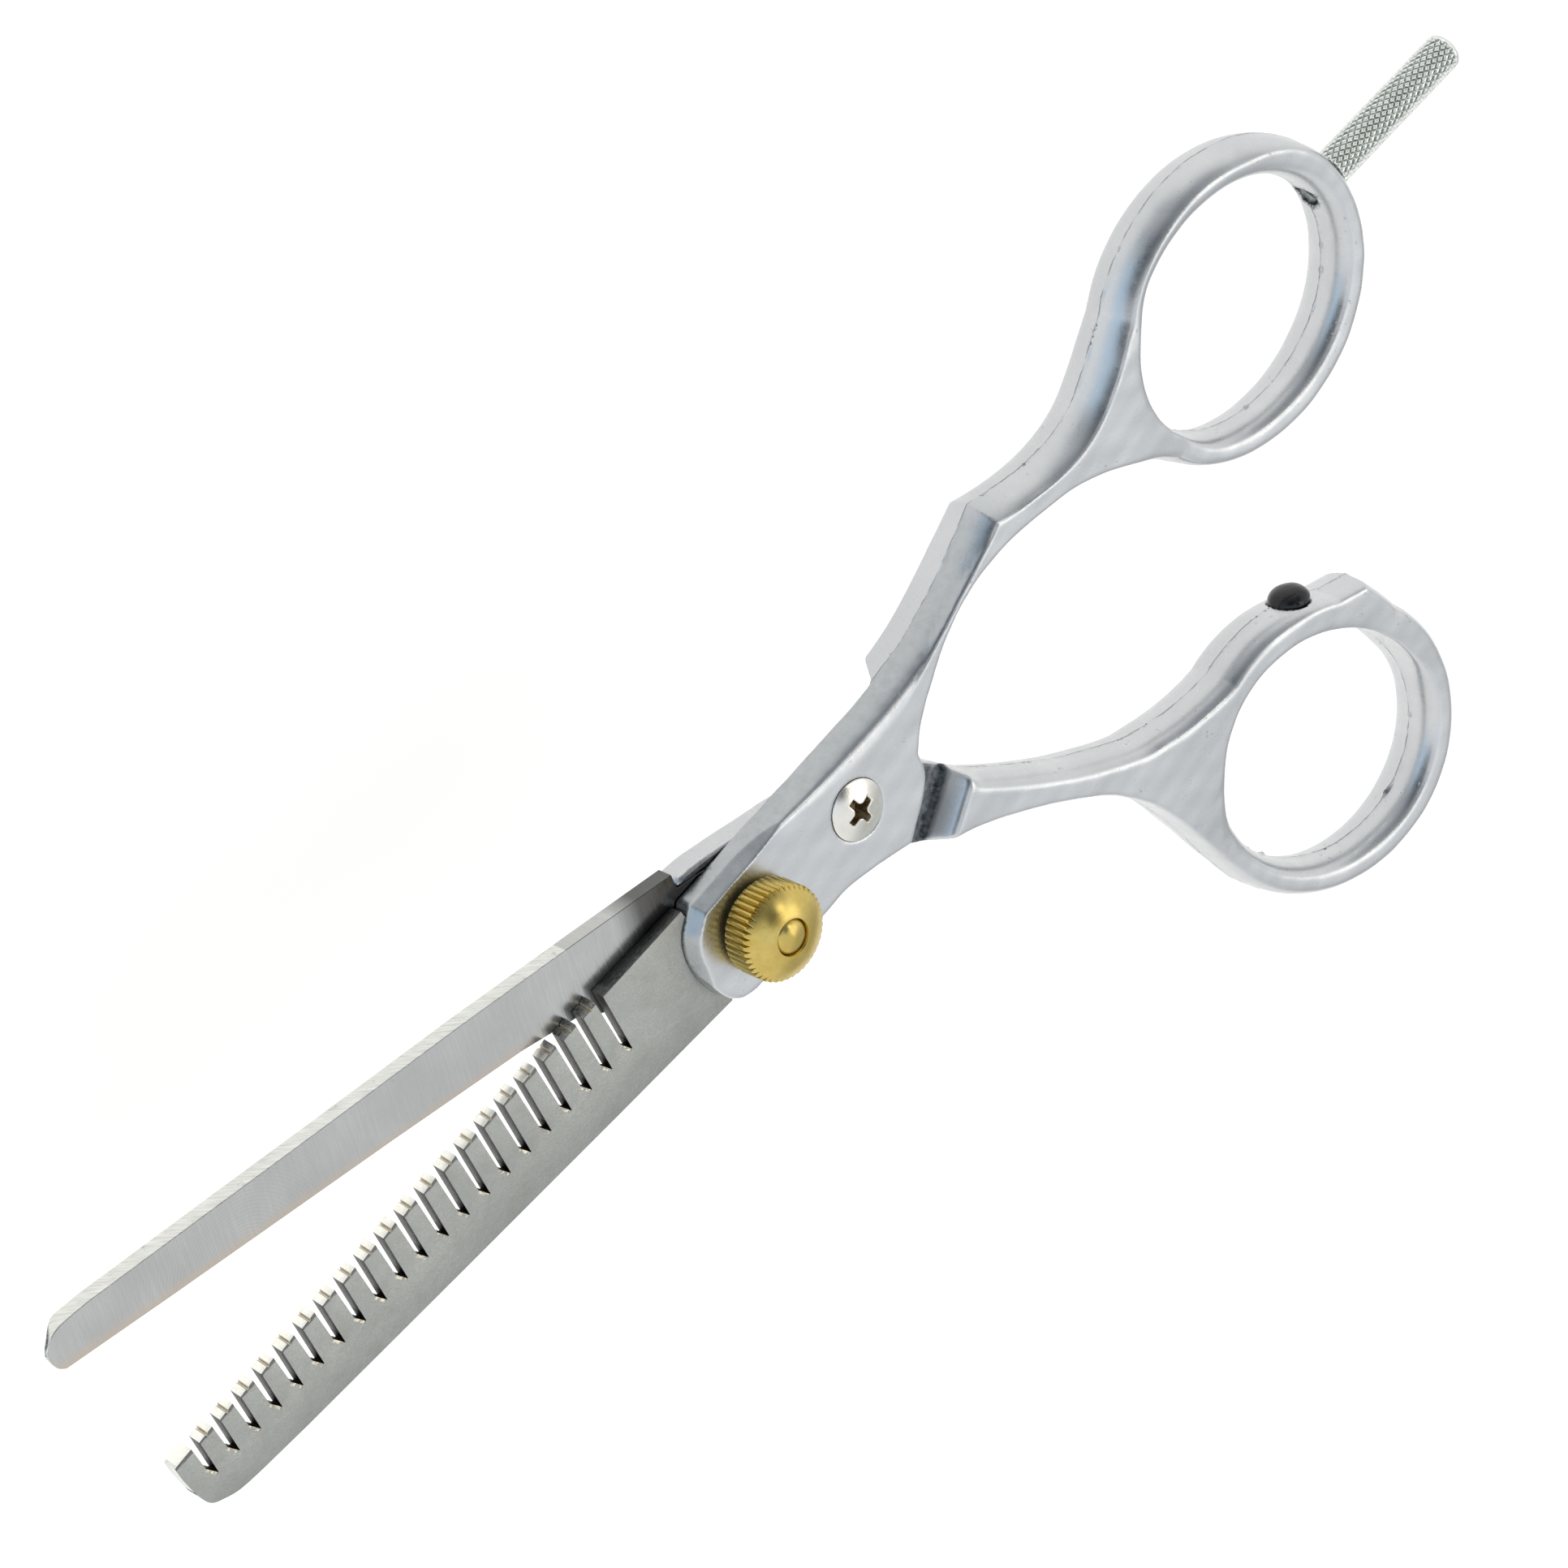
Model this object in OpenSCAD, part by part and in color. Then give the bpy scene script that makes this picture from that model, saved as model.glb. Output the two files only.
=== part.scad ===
// Thinning shears for hairdressing: two cast handles with screwed-on steel blades,
// joined at a pivot with a knurled tension nut.
// The shears lie flat. The origin is on the pivot axis, at the back face of the pivot screw's
// head; +Z (front) is towards the tension nut, +X runs along the straight blade to its tip.

/* [Handles] */
// Thickness of each half-lap layer of a handle
half_t = 3.2; // [3.1:0.05:3.4]
// Depth of the ring section, front to back
ring_t = 6.0; // [5.4:0.1:6.2]
// In-plane inset of the eased ring edges
ring_round = 0.8; // [0.4:0.1:1.0]
// In-plane inset of the shank and plate edges
shank_round = 0.35; // [0.2:0.05:0.5]
// Swing of the finger half away from the drawn, part-open pose, for preview
swing = 0; // [-12:1:70]

/* [Blades] */
// Length of the straight blade from the pivot axis to its tip
straight_len = 77.3; // [76.5:0.1:80]
// Thickness of the straight blade
straight_t = 1.8; // [1.6:0.05:1.9]
// Length of the toothed blade from the pivot axis to its tip
toothed_len = 72.0; // [71.6:0.1:74]
// Thickness of the toothed blade
toothed_t = 1.5; // [1.4:0.05:1.6]
// Number of slots between the teeth
slots = 21; // [12:1:21]
// Distance from one slot to the next
slot_pitch = 2.647; // [2.4:0.01:2.65]
// Width of each slot
slot_w = 0.8; // [0.7:0.05:0.9]
// Depth of the small groove in the end of each tooth
notch_d = 0.22; // [0.1:0.02:0.4]
// How much further the riding face reaches than the front face at the ground tooth ends
tooth_grind = 0.26; // [0.1:0.02:0.4]

/* [Pivot and tension nut] */
// Radius of the plain pivot journal
journal_r = 2.5; // [2.3:0.05:2.7]
// Radius of the stud that carries the nut
stud_r = 1.7; // [1.5:0.05:1.8]
// Radius of the pivot screw's head on the back
pivot_head_r = 4.0; // [3.5:0.1:4.4]
// Height of the pivot screw's head
pivot_head_h = 0.9; // [0.6:0.1:1.2]
// Radius over the knurled rim of the tension nut
nut_r = 4.58; // [4.2:0.02:5]
// Height of the knurled rim
nut_rim_h = 2.95; // [2.2:0.05:3]
// Rise of the nut's domed face above its rim
nut_dome_h = 1.3; // [1:0.1:1.6]
// Number of knurls round the rim
nut_knurls = 44; // [24:1:60]
// Thickness of the spring washer
washer_t = 0.4; // [0.3:0.05:0.5]
// Radius of the spring washer
washer_r = 3.7; // [3.2:0.1:4]

/* [Screws, finger rest and bumper] */
// Head radius of the screws that hold the blades
screw_head_r = 3.0; // [2.6:0.05:3.2]
// Shank radius of the same screws
screw_r = 1.5; // [1.2:0.05:1.5]
// Rise of the raised head
screw_dome_h = 0.6; // [0.3:0.05:0.8]
// Radius of the finger rest
rest_r = 1.85; // [1.5:0.05:2]
// Length of the finger rest outside the ring
rest_len = 16.4; // [12:0.2:18]
// Radius of the bumper's dome
bumper_r = 2.1; // [1.8:0.05:2.4]
// Height of the bumper's dome
bumper_h = 1.8; // [1.4:0.1:2]

/* [Hidden] */
$fn = 64;

// Clearances and cutter reach
gap = 0.03;         // half the running clearance between the two halves
fit = 0.02;         // clearance round seated parts
run = 0.05;         // radial running clearance on the pivot
screw_clear = 0.05; // clearance round the blade screws in the handles
over = 1;           // how far cutters pass a face
through = 5;        // how far blade bores reach past the mating plane

// Frames: handles are drawn on a sheet, blades with the pivot at the origin
datum = [-1.14, 1.30];    // pivot centre on the sheet
sheet_turn = 132;         // turns the sheet so the straight blade lies along +X
toothed_turn = 11.4;      // the toothed blade's axis in the drawn pose
screw_at = [-13.8, 1.4];  // blade screw in the straight blade's frame; front one mirrored in y
front_screw_turn = 12;    // turn of the front screw's recess

// Heights
mating_z = half_t + pivot_head_h;          // where the blades meet, above the origin
nut_z = half_t + fit + washer_t + fit;     // nut's back face, above the mating plane
nut_top = nut_z + nut_rim_h + nut_dome_h;
screw_cone_h = screw_head_r - screw_r;

// Depth of the stepped edges on the handles
shank_step = 0.5;
ring_step = 0.9;

// Finger rest: where its axis leaves the ring, its direction on the sheet, and its stem
rest_at = [32.3, 85.0];
rest_dir = 62;
rest_stem_r = 1.25;
rest_stem_len = 2.4;
rest_base = 0.35;    // height of the shoulder
rest_offset = 1.4;   // where rest_len starts
rest_end_round = 0.9;

// Bumper: seat on the thumb shank's outer wall, its direction on the sheet, and its stem
bumper_at = [49.85, 47.4];
bumper_dir = 135;
bumper_stem_r = 1.0;
bumper_stem_len = 1.8;
bumper_base = 0.3;

// ---- curves ----
function catmull_rom(a, b, c, d, t) = 0.5 * ((2 * b) + (c - a) * t
    + (2 * a - 5 * b + 4 * c - d) * t * t + (3 * b - a - 3 * c + d) * t * t * t);

// smooth curve through the points, without the last one
curve_steps = 4;
function curve(points) = [
    for (i = [0 : len(points) - 2]) for (k = [0 : curve_steps - 1])
        catmull_rom(points[max(i - 1, 0)], points[i], points[i + 1],
                    points[min(i + 2, len(points) - 1)], k / curve_steps)];

function whole_curve(points) = concat(curve(points), [points[len(points) - 1]]);

function outward_normal(a, b) = [b.y - a.y, a.x - b.x] / norm(b - a);

// a counter-clockwise outline with each point moved inwards by a distance
function inset(points, distance) = let (count = len(points)) [
    for (i = [0 : count - 1])
        let (here = points[i],
             bisector = outward_normal(points[(i + count - 1) % count], here)
                      + outward_normal(here, points[(i + 1) % count]))
        here - distance * bisector / norm(bisector)];

// ---- ring ellipses on the sheet: centre, semi-axes, turn of the first axis ----
finger_ring_outer = [[25.98, 70.15], [16.20, 14.62], 64.3];
finger_ring_inner = [[26.00, 69.80], [13.10, 11.10], 64.3];
thumb_ring_outer  = [[59.65, 36.60], [17.00, 14.90], 16.6];
thumb_ring_inner  = [[59.55, 36.45], [13.50, 11.58], 16.6];

// ---- handle outlines on the sheet [x, y], counter-clockwise ----
finger_right = [[1.9, -4.4], [3.2, -1.8], [5.9, 3.4], [7.5, 6.7], [10.0, 9.9]];
finger_wing = [[12.9, 12.9], [12.3, 16.2], [11.3, 19.2], [9.3, 20.8]];
finger_neck = [
    [9.3, 20.8], [8.2, 23.5], [7.5, 27.0], [7.1, 31.0], [7.4, 35.0], [8.4, 38.5], [10.0, 41.7],
    [12.3, 45.0], [15.0, 48.3], [18.3, 51.0], [22.0, 53.0], [26.0, 54.3], [30.0, 55.7]];
finger_inside = [[30.0, 58.5], [22.0, 62.0], [16.0, 68.0]];  // hidden by the ring
finger_ring_left = [
    [11.6, 66.0], [12.2, 62.0], [12.8, 58.5], [12.9, 55.0], [12.2, 51.8], [10.6, 48.7],
    [8.2, 45.6], [5.75, 43.0]];
finger_left = [
    [5.75, 43.0], [5.75, 37.5], [5.2, 32.0], [4.1, 27.5], [2.3, 22.9], [-1.2, 15.7],
    [-5.4, 7.3], [-8.6, 0.4]];
finger_nose = [
    [-8.6, 0.4], [-7.9, -2.4], [-6.3, -4.3], [-3.8, -5.6], [-1.2, -6.1], [0.6, -5.7], [1.9, -4.4]];
finger_line = concat(curve(finger_right), curve(finger_wing), whole_curve(finger_neck),
    finger_inside, curve(finger_ring_left), curve(finger_left), curve(finger_nose));

thumb_right = [[-2.8, -5.9], [-0.4, -4.8], [2.7, -2.2], [7.8, 4.0], [12.9, 10.2], [16.2, 13.2]];
thumb_lower = [
    [16.2, 13.2], [20.0, 16.5], [26.1, 20.2], [32.8, 23.3], [36.5, 24.3], [40.5, 24.6],
    [44.5, 24.2], [48.5, 23.35], [52.5, 22.35], [57.5, 21.5]];
thumb_inside = [[58.0, 26.0], [60.0, 36.0], [66.0, 44.0]];  // hidden by the ring
thumb_hump = [[69.0, 48.5], [65.0, 50.5], [60.1, 51.8], [55.45, 52.35]];
thumb_upper = [
    [55.45, 52.35], [50.5, 47.9], [46.2, 43.8], [44.0, 40.2], [42.5, 37.2], [40.5, 34.2],
    [38.0, 31.4], [35.5, 29.2], [30.0, 26.0], [24.0, 23.3], [18.0, 21.2], [12.3, 20.0],
    [5.5, 17.0], [0.2, 12.8], [-3.5, 9.0], [-7.4, 4.8], [-9.2, 2.4]];
thumb_nose = [[-9.2, 2.4], [-9.0, 0.2], [-8.0, -2.2], [-5.6, -4.9], [-2.8, -5.9]];
thumb_line = concat(curve(thumb_right), whole_curve(thumb_lower), thumb_inside,
    curve(thumb_hump), curve(thumb_upper), curve(thumb_nose));

// regions of the sheet where the half-laps are cut away
finger_lap = [[-40, -40], [40, -40], [40, 25.6], [7.8, 25.6], [2.2, 24.5], [-40, 24.5]];
thumb_lap = [[-40, -40], [19, -40], [16.9, 11.0], [15.5, 22.5], [15.5, 40], [-40, 40]];

// ---- straight blade outline [x, y] in its own frame, cutting edge on the +y side ----
straight_tip = [
    [straight_len - 5.3, -5.15], [straight_len - 1.9, -4.7], [straight_len - 0.4, -3.7],
    [straight_len, -2.6], [straight_len - 0.4, -1.3], [straight_len - 1.2, -0.68]];
straight_line = concat(
    [[-18, -3.4], [-16.5, -4.6], [2, -5.9], [5.2, -5.9], [5.4, -7.45], [16, -7.25],
     [30, -6.9], [46, -6.2], [59, -5.7]],
    whole_curve(straight_tip),
    [[65, -0.70], [55, -0.78], [40, -0.92], [25, -0.92], [19, -0.5], [15, 1.2], [11, 3.6],
     [7.5, 4.4], [4.9, 4.2], [0, 4.2], [-16.5, 3.6], [-18, 2.6]]);

// region ground away behind the cutting edge [y, z], and where it starts and how long it is
bevel_x = 19;
bevel_len = 65;
bevel_line = [
    [0.4, 0.3], [0.4, -straight_t - 1], [-3.2, -straight_t - 1], [-3.2, -straight_t - gap - 0.15],
    [-0.9, -gap - 0.35], [-0.5, -gap - 0.02]];

// ---- toothed blade outline [x, y] in its own frame, teeth on the -y side ----
knee_x = 26;          // where the line of the tooth ends changes slope
grind_x = 14;         // start of the end grind
grind_end_x = 72.5;
last_slot_x = 69.45;  // slot nearest the tip
slot_lean = 0.17;     // how much the tip-side wall of a slot opens towards the tooth ends

// y of the tooth ends on the front face, and of the closed ends of the slots
function tooth_edge(x) = x > knee_x ? -0.92 - 0.080 * (71.9 - x) : -4.59 - 0.06 * (knee_x - x);
function slot_top(x) = 1.35 + 0.0246 * (x - 16);

toothed_tip = [
    [toothed_len, -0.85], [toothed_len - 0.05, 0.6], [toothed_len - 0.4, 3.0],
    [toothed_len - 1, 4.6], [toothed_len - 2.2, 5.3], [toothed_len - 4, 5.85],
    [toothed_len - 7, 6.0]];
toothed_line = concat(
    [for (x = [5.4, 10, 14]) [x, tooth_edge(x)]],
    [for (x = [14.2, knee_x, 71.6]) [x, tooth_edge(x) - tooth_grind]],
    toothed_tip,
    [[60, 6.05], [40, 5.95], [20, 5.8], [5.2, 5.6], [5.0, 4.3], [0, 4.3], [-16.5, 3.9],
     [-18, 2.8], [-18, -3.4], [-16.5, -4.5], [0, -4.6], [5.2, -4.6]]);

// ---- frames ----
// the parts are modelled with z = 0 on the mating plane
module lifted() { translate([0, 0, mating_z]) children(); }
module on_sheet() { rotate([0, 0, sheet_turn]) translate([-datum.x, -datum.y, 0]) children(); }
module finger_half() { rotate([0, 0, swing]) children(); }
module toothed_frame() { rotate([0, 0, toothed_turn]) children(); }

// local +Z points along a direction lying in the sheet
module on_sheet_axis(at, direction) {
    on_sheet() translate([at.x, at.y, 0]) rotate([0, 0, direction]) rotate([0, 90, 0]) children();
}
module on_rest_axis() { on_sheet_axis(rest_at, rest_dir) children(); }
module on_bumper_axis() { on_sheet_axis(bumper_at, bumper_dir) children(); }

// local +Z points out through the screw's head
module at_back_screw() { translate([screw_at.x, screw_at.y, 0]) rotate([180, 0, 0]) children(); }
module at_front_screw() { toothed_frame() translate([screw_at.x, -screw_at.y, 0]) children(); }

// ---- shared shapes ----
module slab(bottom, top) { translate([0, 0, bottom]) linear_extrude(top - bottom) children(); }

module rod(radius, bottom, top) {
    translate([0, 0, bottom]) cylinder(r = radius, h = top - bottom);
}

// extrudes a [y, z] profile along +X
module along_x(length) { rotate([90, 0, 90]) linear_extrude(length) children(); }

module ellipse(ring, grow = 0) {
    centre = ring[0];
    semi = ring[1] + [grow, grow];
    turn = ring[2];
    count = 96;
    polygon([for (i = [0 : count - 1]) let (a = 360 * i / count)
        centre + [semi.x * cos(a) * cos(turn) - semi.y * sin(a) * sin(turn),
                  semi.x * cos(a) * sin(turn) + semi.y * sin(a) * cos(turn)]]);
}

// a handle before its half-lap is cut: shank and ring, both with stepped edges
module cast_handle(line, ring_outer, ring_inner) {
    shank_z = half_t - shank_step;
    ring_z = ring_t / 2 - ring_step;
    difference() {
        union() {
            slab(-shank_z, shank_z) polygon(line);
            slab(-half_t, half_t) polygon(inset(line, shank_round));
            slab(-ring_z, ring_z) ellipse(ring_outer);
            slab(-ring_t / 2, ring_t / 2) ellipse(ring_outer, -ring_round);
        }
        slab(-half_t - over, half_t + over) ellipse(ring_inner);
        slab(ring_z, half_t + over) ellipse(ring_inner, ring_round);
        slab(-half_t - over, -ring_z) ellipse(ring_inner, ring_round);
    }
}

// outline of the seat for a blade's tang, open at the nose
module tang_seat(line) {
    intersection() {
        polygon([for (p = line) p + [p.x < -16 ? -fit : 0, p.y < 0 ? -fit : fit]]);
        translate([-30, -20]) square([60, 40]);
    }
}

// hole and countersink for a blade screw whose head faces +Z at half_t
module screw_hole() {
    rod(screw_r + screw_clear, -0.5, half_t + 0.5);
    translate([0, 0, half_t - screw_cone_h])
        cylinder(r1 = screw_r + screw_clear, r2 = screw_head_r + screw_clear, h = screw_cone_h);
    translate([0, 0, half_t - 0.001]) cylinder(r = screw_head_r + screw_clear, h = over);
}

// raised countersunk screw with a cross recess, head towards +Z
module blade_screw() {
    dome_sphere_r = (pow(screw_head_r, 2) + pow(screw_dome_h, 2)) / (2 * screw_dome_h);
    dome_angle = asin(screw_head_r / dome_sphere_r);
    screw_top = half_t + screw_dome_h;
    screw_end = gap + 0.05;
    recess_len = 3.0;
    recess_w = 0.7;
    recess_depth = 1.2;
    difference() {
        rotate_extrude() polygon(concat(
            [[0, screw_end], [screw_r, screw_end], [screw_r, half_t - screw_cone_h],
             [screw_head_r, half_t]],
            [for (i = [1 : 8]) let (a = dome_angle * (1 - i / 8))
                [dome_sphere_r * sin(a), screw_top - dome_sphere_r * (1 - cos(a))]]));
        for (a = [0, 90]) rotate([0, 0, a])
            translate([-recess_len / 2, -recess_w / 2, screw_top - recess_depth])
                cube([recess_len, recess_w, 2]);
    }
}

// ---- back half ----
module thumb_handle() {
    color([0.76, 0.78, 0.80]) difference() {
        on_sheet() cast_handle(thumb_line, thumb_ring_outer, thumb_ring_inner);
        on_sheet() slab(-gap, half_t + over) polygon(thumb_lap);
        slab(-straight_t - 2 * gap, over) tang_seat(straight_line);
        rod(journal_r + fit, -half_t - over, over);
        at_back_screw() screw_hole();
        // blind hole for the bumper's stem, with a spot face for its dome
        on_bumper_axis() {
            translate([0, 0, -bumper_stem_len - 0.1]) cylinder(r = bumper_stem_r + fit, h = 4);
            translate([0, 0, bumper_base - fit]) cylinder(r = bumper_r + run, h = 3);
        }
    }
}

module straight_blade() {
    color([0.70, 0.70, 0.67]) difference() {
        slab(-straight_t - gap, -gap) polygon(straight_line);
        rod(journal_r + fit, -through, over);
        at_back_screw() screw_hole();
        translate([bevel_x, 0, 0]) along_x(bevel_len) polygon(bevel_line);
    }
}

module pivot_screw() {
    head_chamfer = 0.35;
    stud_chamfer_h = 0.25;
    stud_chamfer_w = 0.5;
    pin_hole_x = 2.3;
    pin_hole_r = 0.6;
    pin_hole_depth = 0.55;
    color([0.80, 0.66, 0.30]) difference() {
        union() {
            translate([0, 0, -mating_z])
                cylinder(r1 = pivot_head_r - head_chamfer, r2 = pivot_head_r, h = head_chamfer);
            rod(pivot_head_r, -mating_z + head_chamfer, -half_t - fit);
            // journal and stud each start inside the section behind them
            rod(journal_r, -half_t - 0.3, half_t - 0.05);
            rod(stud_r, half_t - 0.2, nut_top - 0.05);
            translate([0, 0, nut_top - 0.06])
                cylinder(r1 = stud_r, r2 = stud_r - stud_chamfer_w, h = stud_chamfer_h);
        }
        // two blind holes for a pin spanner
        for (side = [-1, 1]) translate([pin_hole_x * side, 0, 0])
            rod(pin_hole_r, -mating_z - over, -mating_z + pin_hole_depth);
    }
}

module back_blade_screw() {
    color([0.80, 0.78, 0.74]) at_back_screw() blade_screw();
}

module rubber_bumper() {
    rim_inset = 0.2;
    rim_h = 0.3;
    color([0.05, 0.05, 0.06]) on_bumper_axis() union() {
        rod(bumper_stem_r, -bumper_stem_len, bumper_base + 0.1);
        translate([0, 0, bumper_base]) rotate_extrude() polygon(concat(
            [[0, 0], [bumper_r - rim_inset, 0]],
            [for (i = [0 : 8]) let (a = 90 * i / 8)
                [bumper_r * cos(a), rim_h + (bumper_h - rim_h) * sin(a)]]));
    }
}

// ---- front half ----
module finger_handle() {
    color([0.78, 0.80, 0.82]) finger_half() difference() {
        on_sheet() cast_handle(finger_line, finger_ring_outer, finger_ring_inner);
        on_sheet() slab(-half_t - over, gap) polygon(finger_lap);
        toothed_frame() slab(-over, toothed_t + 2 * gap) tang_seat(toothed_line);
        rod(journal_r + run, -half_t - over, half_t + over);
        at_front_screw() screw_hole();
        // spot face outside the ring, and the hole for the finger rest's stem
        on_rest_axis() translate([0, 0, 0.1]) cylinder(r = rest_r + 0.2, h = 4);
        on_rest_axis() translate([0, 0, -4.5]) cylinder(r = rest_stem_r + fit, h = 8);
    }
}

// one slot, cut past the tooth ends
module slot(x) {
    top = slot_top(x);
    mouth = tooth_edge(x) - 1.2;
    handle_wall = x - slot_lean - slot_w / 2;
    tip_wall = x - slot_lean + slot_w / 2;
    polygon([[handle_wall, mouth], [handle_wall, top - 0.02], [handle_wall + 0.06, top],
             [tip_wall, top - 1.18], [tip_wall + slot_lean, mouth]]);
}

// V groove in the end of a tooth
module tooth_notch(x) {
    half_w = 0.56;
    edge = tooth_edge(x);
    polygon([[x - half_w, edge - 0.5], [x + half_w, edge - 0.5], [x, edge + notch_d]]);
}

module toothed_2d() {
    tooth_offset = 1.5;  // from a slot back to the tooth on its handle side
    difference() {
        polygon(toothed_line);
        for (i = [0 : slots - 1]) {
            x = last_slot_x - slot_pitch * i;
            slot(x);
            if (i < slots - 1) tooth_notch(x - tooth_offset);
        }
    }
}

// slanted grind across the tooth ends from start_x to end_x
module end_grind(start_x, end_x) {
    slope = tooth_grind / toothed_t;
    start_y = tooth_edge(start_x);
    top = toothed_t + gap + 0.3;
    bottom = gap - 0.5;
    outer_y = -1.5;
    translate([start_x, start_y, 0])
        rotate([0, 0, atan2(tooth_edge(end_x) - start_y, end_x - start_x)])
        along_x(end_x - start_x)
            polygon([[0.3 * slope, top], [-slope * (toothed_t + 0.5), bottom],
                     [outer_y, bottom], [outer_y, top]]);
}

module toothed_blade() {
    color([0.72, 0.72, 0.69]) finger_half() toothed_frame() difference() {
        slab(gap, toothed_t + gap) toothed_2d();
        rod(journal_r + run, -over, through);
        translate([screw_at.x, -screw_at.y, 0]) rod(screw_r + fit, -over, through);
        end_grind(grind_x, knee_x);
        end_grind(knee_x, grind_end_x);
    }
}

module front_blade_screw() {
    color([0.84, 0.82, 0.78]) finger_half() at_front_screw()
        rotate([0, 0, front_screw_turn]) blade_screw();
}

module finger_rest() {
    chamfer = 0.25;
    rest_end = rest_offset + rest_len;
    color([0.70, 0.72, 0.66]) finger_half() on_rest_axis() rotate_extrude() polygon(concat(
        [[0, -rest_stem_len], [rest_stem_r, -rest_stem_len], [rest_stem_r, rest_base],
         [rest_r - chamfer, rest_base], [rest_r, rest_base + chamfer]],
        [for (i = [0 : 6]) let (a = 90 * i / 6)
            [rest_r - rest_end_round + rest_end_round * cos(a),
             rest_end - rest_end_round + rest_end_round * sin(a)]],
        [[0, rest_end]]));
}

// ---- tension stack ----
module spring_washer() {
    bore_clear = 0.1;
    color([0.45, 0.45, 0.44]) translate([0, 0, half_t + fit]) difference() {
        cylinder(r = washer_r, h = washer_t);
        rod(stud_r + bore_clear, -over, 2 * over);
    }
}

module tension_nut() {
    face_r = nut_r - 0.35;
    bore_r = stud_r + run;
    chamfer = 0.3;
    knurl_w = 0.26;
    color([0.83, 0.68, 0.27]) translate([0, 0, nut_z]) difference() {
        rotate_extrude() polygon(concat(
            [[bore_r, 0], [nut_r - chamfer, 0], [nut_r, chamfer], [nut_r, nut_rim_h]],
            [for (i = [0 : 8]) let (r = face_r + (bore_r - face_r) * i / 8)
                [r, nut_rim_h + nut_dome_h * (1 - pow((r - bore_r) / (face_r - bore_r), 2))]]));
        for (i = [0 : nut_knurls - 1]) rotate([0, 0, 360 * i / nut_knurls])
            translate([nut_r, 0, -over]) rotate([0, 0, 45])
            translate([-knurl_w / 2, -knurl_w / 2, 0])
                cube([knurl_w, knurl_w, nut_rim_h + 2 * over]);
    }
}

lifted() thumb_handle();
lifted() straight_blade();
lifted() pivot_screw();
lifted() back_blade_screw();
lifted() rubber_bumper();
lifted() finger_handle();
lifted() toothed_blade();
lifted() front_blade_screw();
lifted() finger_rest();
lifted() spring_washer();
lifted() tension_nut();
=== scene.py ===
# Thinning shears, open: two cast handles with finger rings, a toothed and a straight blade,
# and a brass pivot screw with a knurled nut.
#
# Model frame: +Z is the pivot's axis with the nut on top, x runs from the pivot to the straight
# blade's tip, and the blades meet in the plane z = MATING_Z. Shapes are worked out in millimetres
# from the mating plane and lifted by MATING_Z when they are finished.
# Drawing frame: the handles are drawn in a plane of their own, with the pivot at PIVOT_AT, turned
# by DRAWING_TURN from the model's x and y.
# The finger half lies above the mating plane around the pivot, the thumb half below it.
import math
from contextlib import contextmanager

import bpy
import bmesh
import numpy as np
from mathutils import Matrix


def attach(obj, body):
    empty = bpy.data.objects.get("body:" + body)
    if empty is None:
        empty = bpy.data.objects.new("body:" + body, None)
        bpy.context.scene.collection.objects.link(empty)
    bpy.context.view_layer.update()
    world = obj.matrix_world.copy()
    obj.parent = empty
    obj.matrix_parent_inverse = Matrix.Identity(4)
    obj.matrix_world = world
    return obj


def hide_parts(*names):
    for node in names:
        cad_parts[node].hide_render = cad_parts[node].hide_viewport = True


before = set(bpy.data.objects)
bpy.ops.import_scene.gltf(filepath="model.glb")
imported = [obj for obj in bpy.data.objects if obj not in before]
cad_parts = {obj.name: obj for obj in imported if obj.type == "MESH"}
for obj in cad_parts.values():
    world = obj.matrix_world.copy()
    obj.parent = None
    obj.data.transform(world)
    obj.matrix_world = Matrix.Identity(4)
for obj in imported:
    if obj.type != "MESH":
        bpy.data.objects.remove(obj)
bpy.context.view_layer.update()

scene = bpy.context.scene
MM = 0.001

# ------------------------------------------------------------------ design data (mm)
HALF_THICK = 3.2                       # half the thickness of the handle plates
RING_HALF_THICK = 3.0
GAP = 0.03                             # from the mating plane to either half
MATING_Z = HALF_THICK + 0.9
PIVOT_AT = np.array([-1.14, 1.30])     # in the drawing
DRAWING_TURN = math.radians(132.0)
TOOTHED_TURN = math.radians(11.4)      # toothed blade against the straight one

STRAIGHT_THICK, TOOTHED_THICK = 1.8, 1.5
JOURNAL_R, STUD_R = 2.5, 1.7
STUD_BODY_R = STUD_R - 0.03
PIVOT_HEAD_THICK = 0.9
WASHER_STACK, WASHER_R = 0.4, 3.7      # height left for the washer, its radius
NUT_Z = HALF_THICK + 0.02 + WASHER_STACK + 0.02
NUT_R, NUT_RIM, NUT_DOME, KNURLS = 4.58, 2.95, 1.3, 44

# places in the drawing, and the bearings the parts point to
REST_AT, REST_DIR, REST_R, REST_LEN = np.array([32.3, 85.0]), math.radians(62), 1.85, 16.4
BUMPER_AT, BUMPER_DIR = np.array([49.85, 47.4]), math.radians(135)
# lines of the half-lap's step, from point to point in the drawing
FINGER_STEP = ((2.2, 24.6), (7.9, 25.9))
THUMB_STEP = ((14.9, 22.0), (16.1, 12.0))

# ring ellipses in the drawing: centre, half axes, turn in degrees
FINGER_RING = ((25.98, 70.15), (16.20, 14.62), 64.3)
FINGER_HOLE = ((26.00, 69.80), (13.10, 11.10), 64.3)
THUMB_RING = ((59.65, 36.60), (17.00, 14.90), 16.6)
THUMB_HOLE = ((59.55, 36.45), (13.50, 11.58), 16.6)

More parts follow.
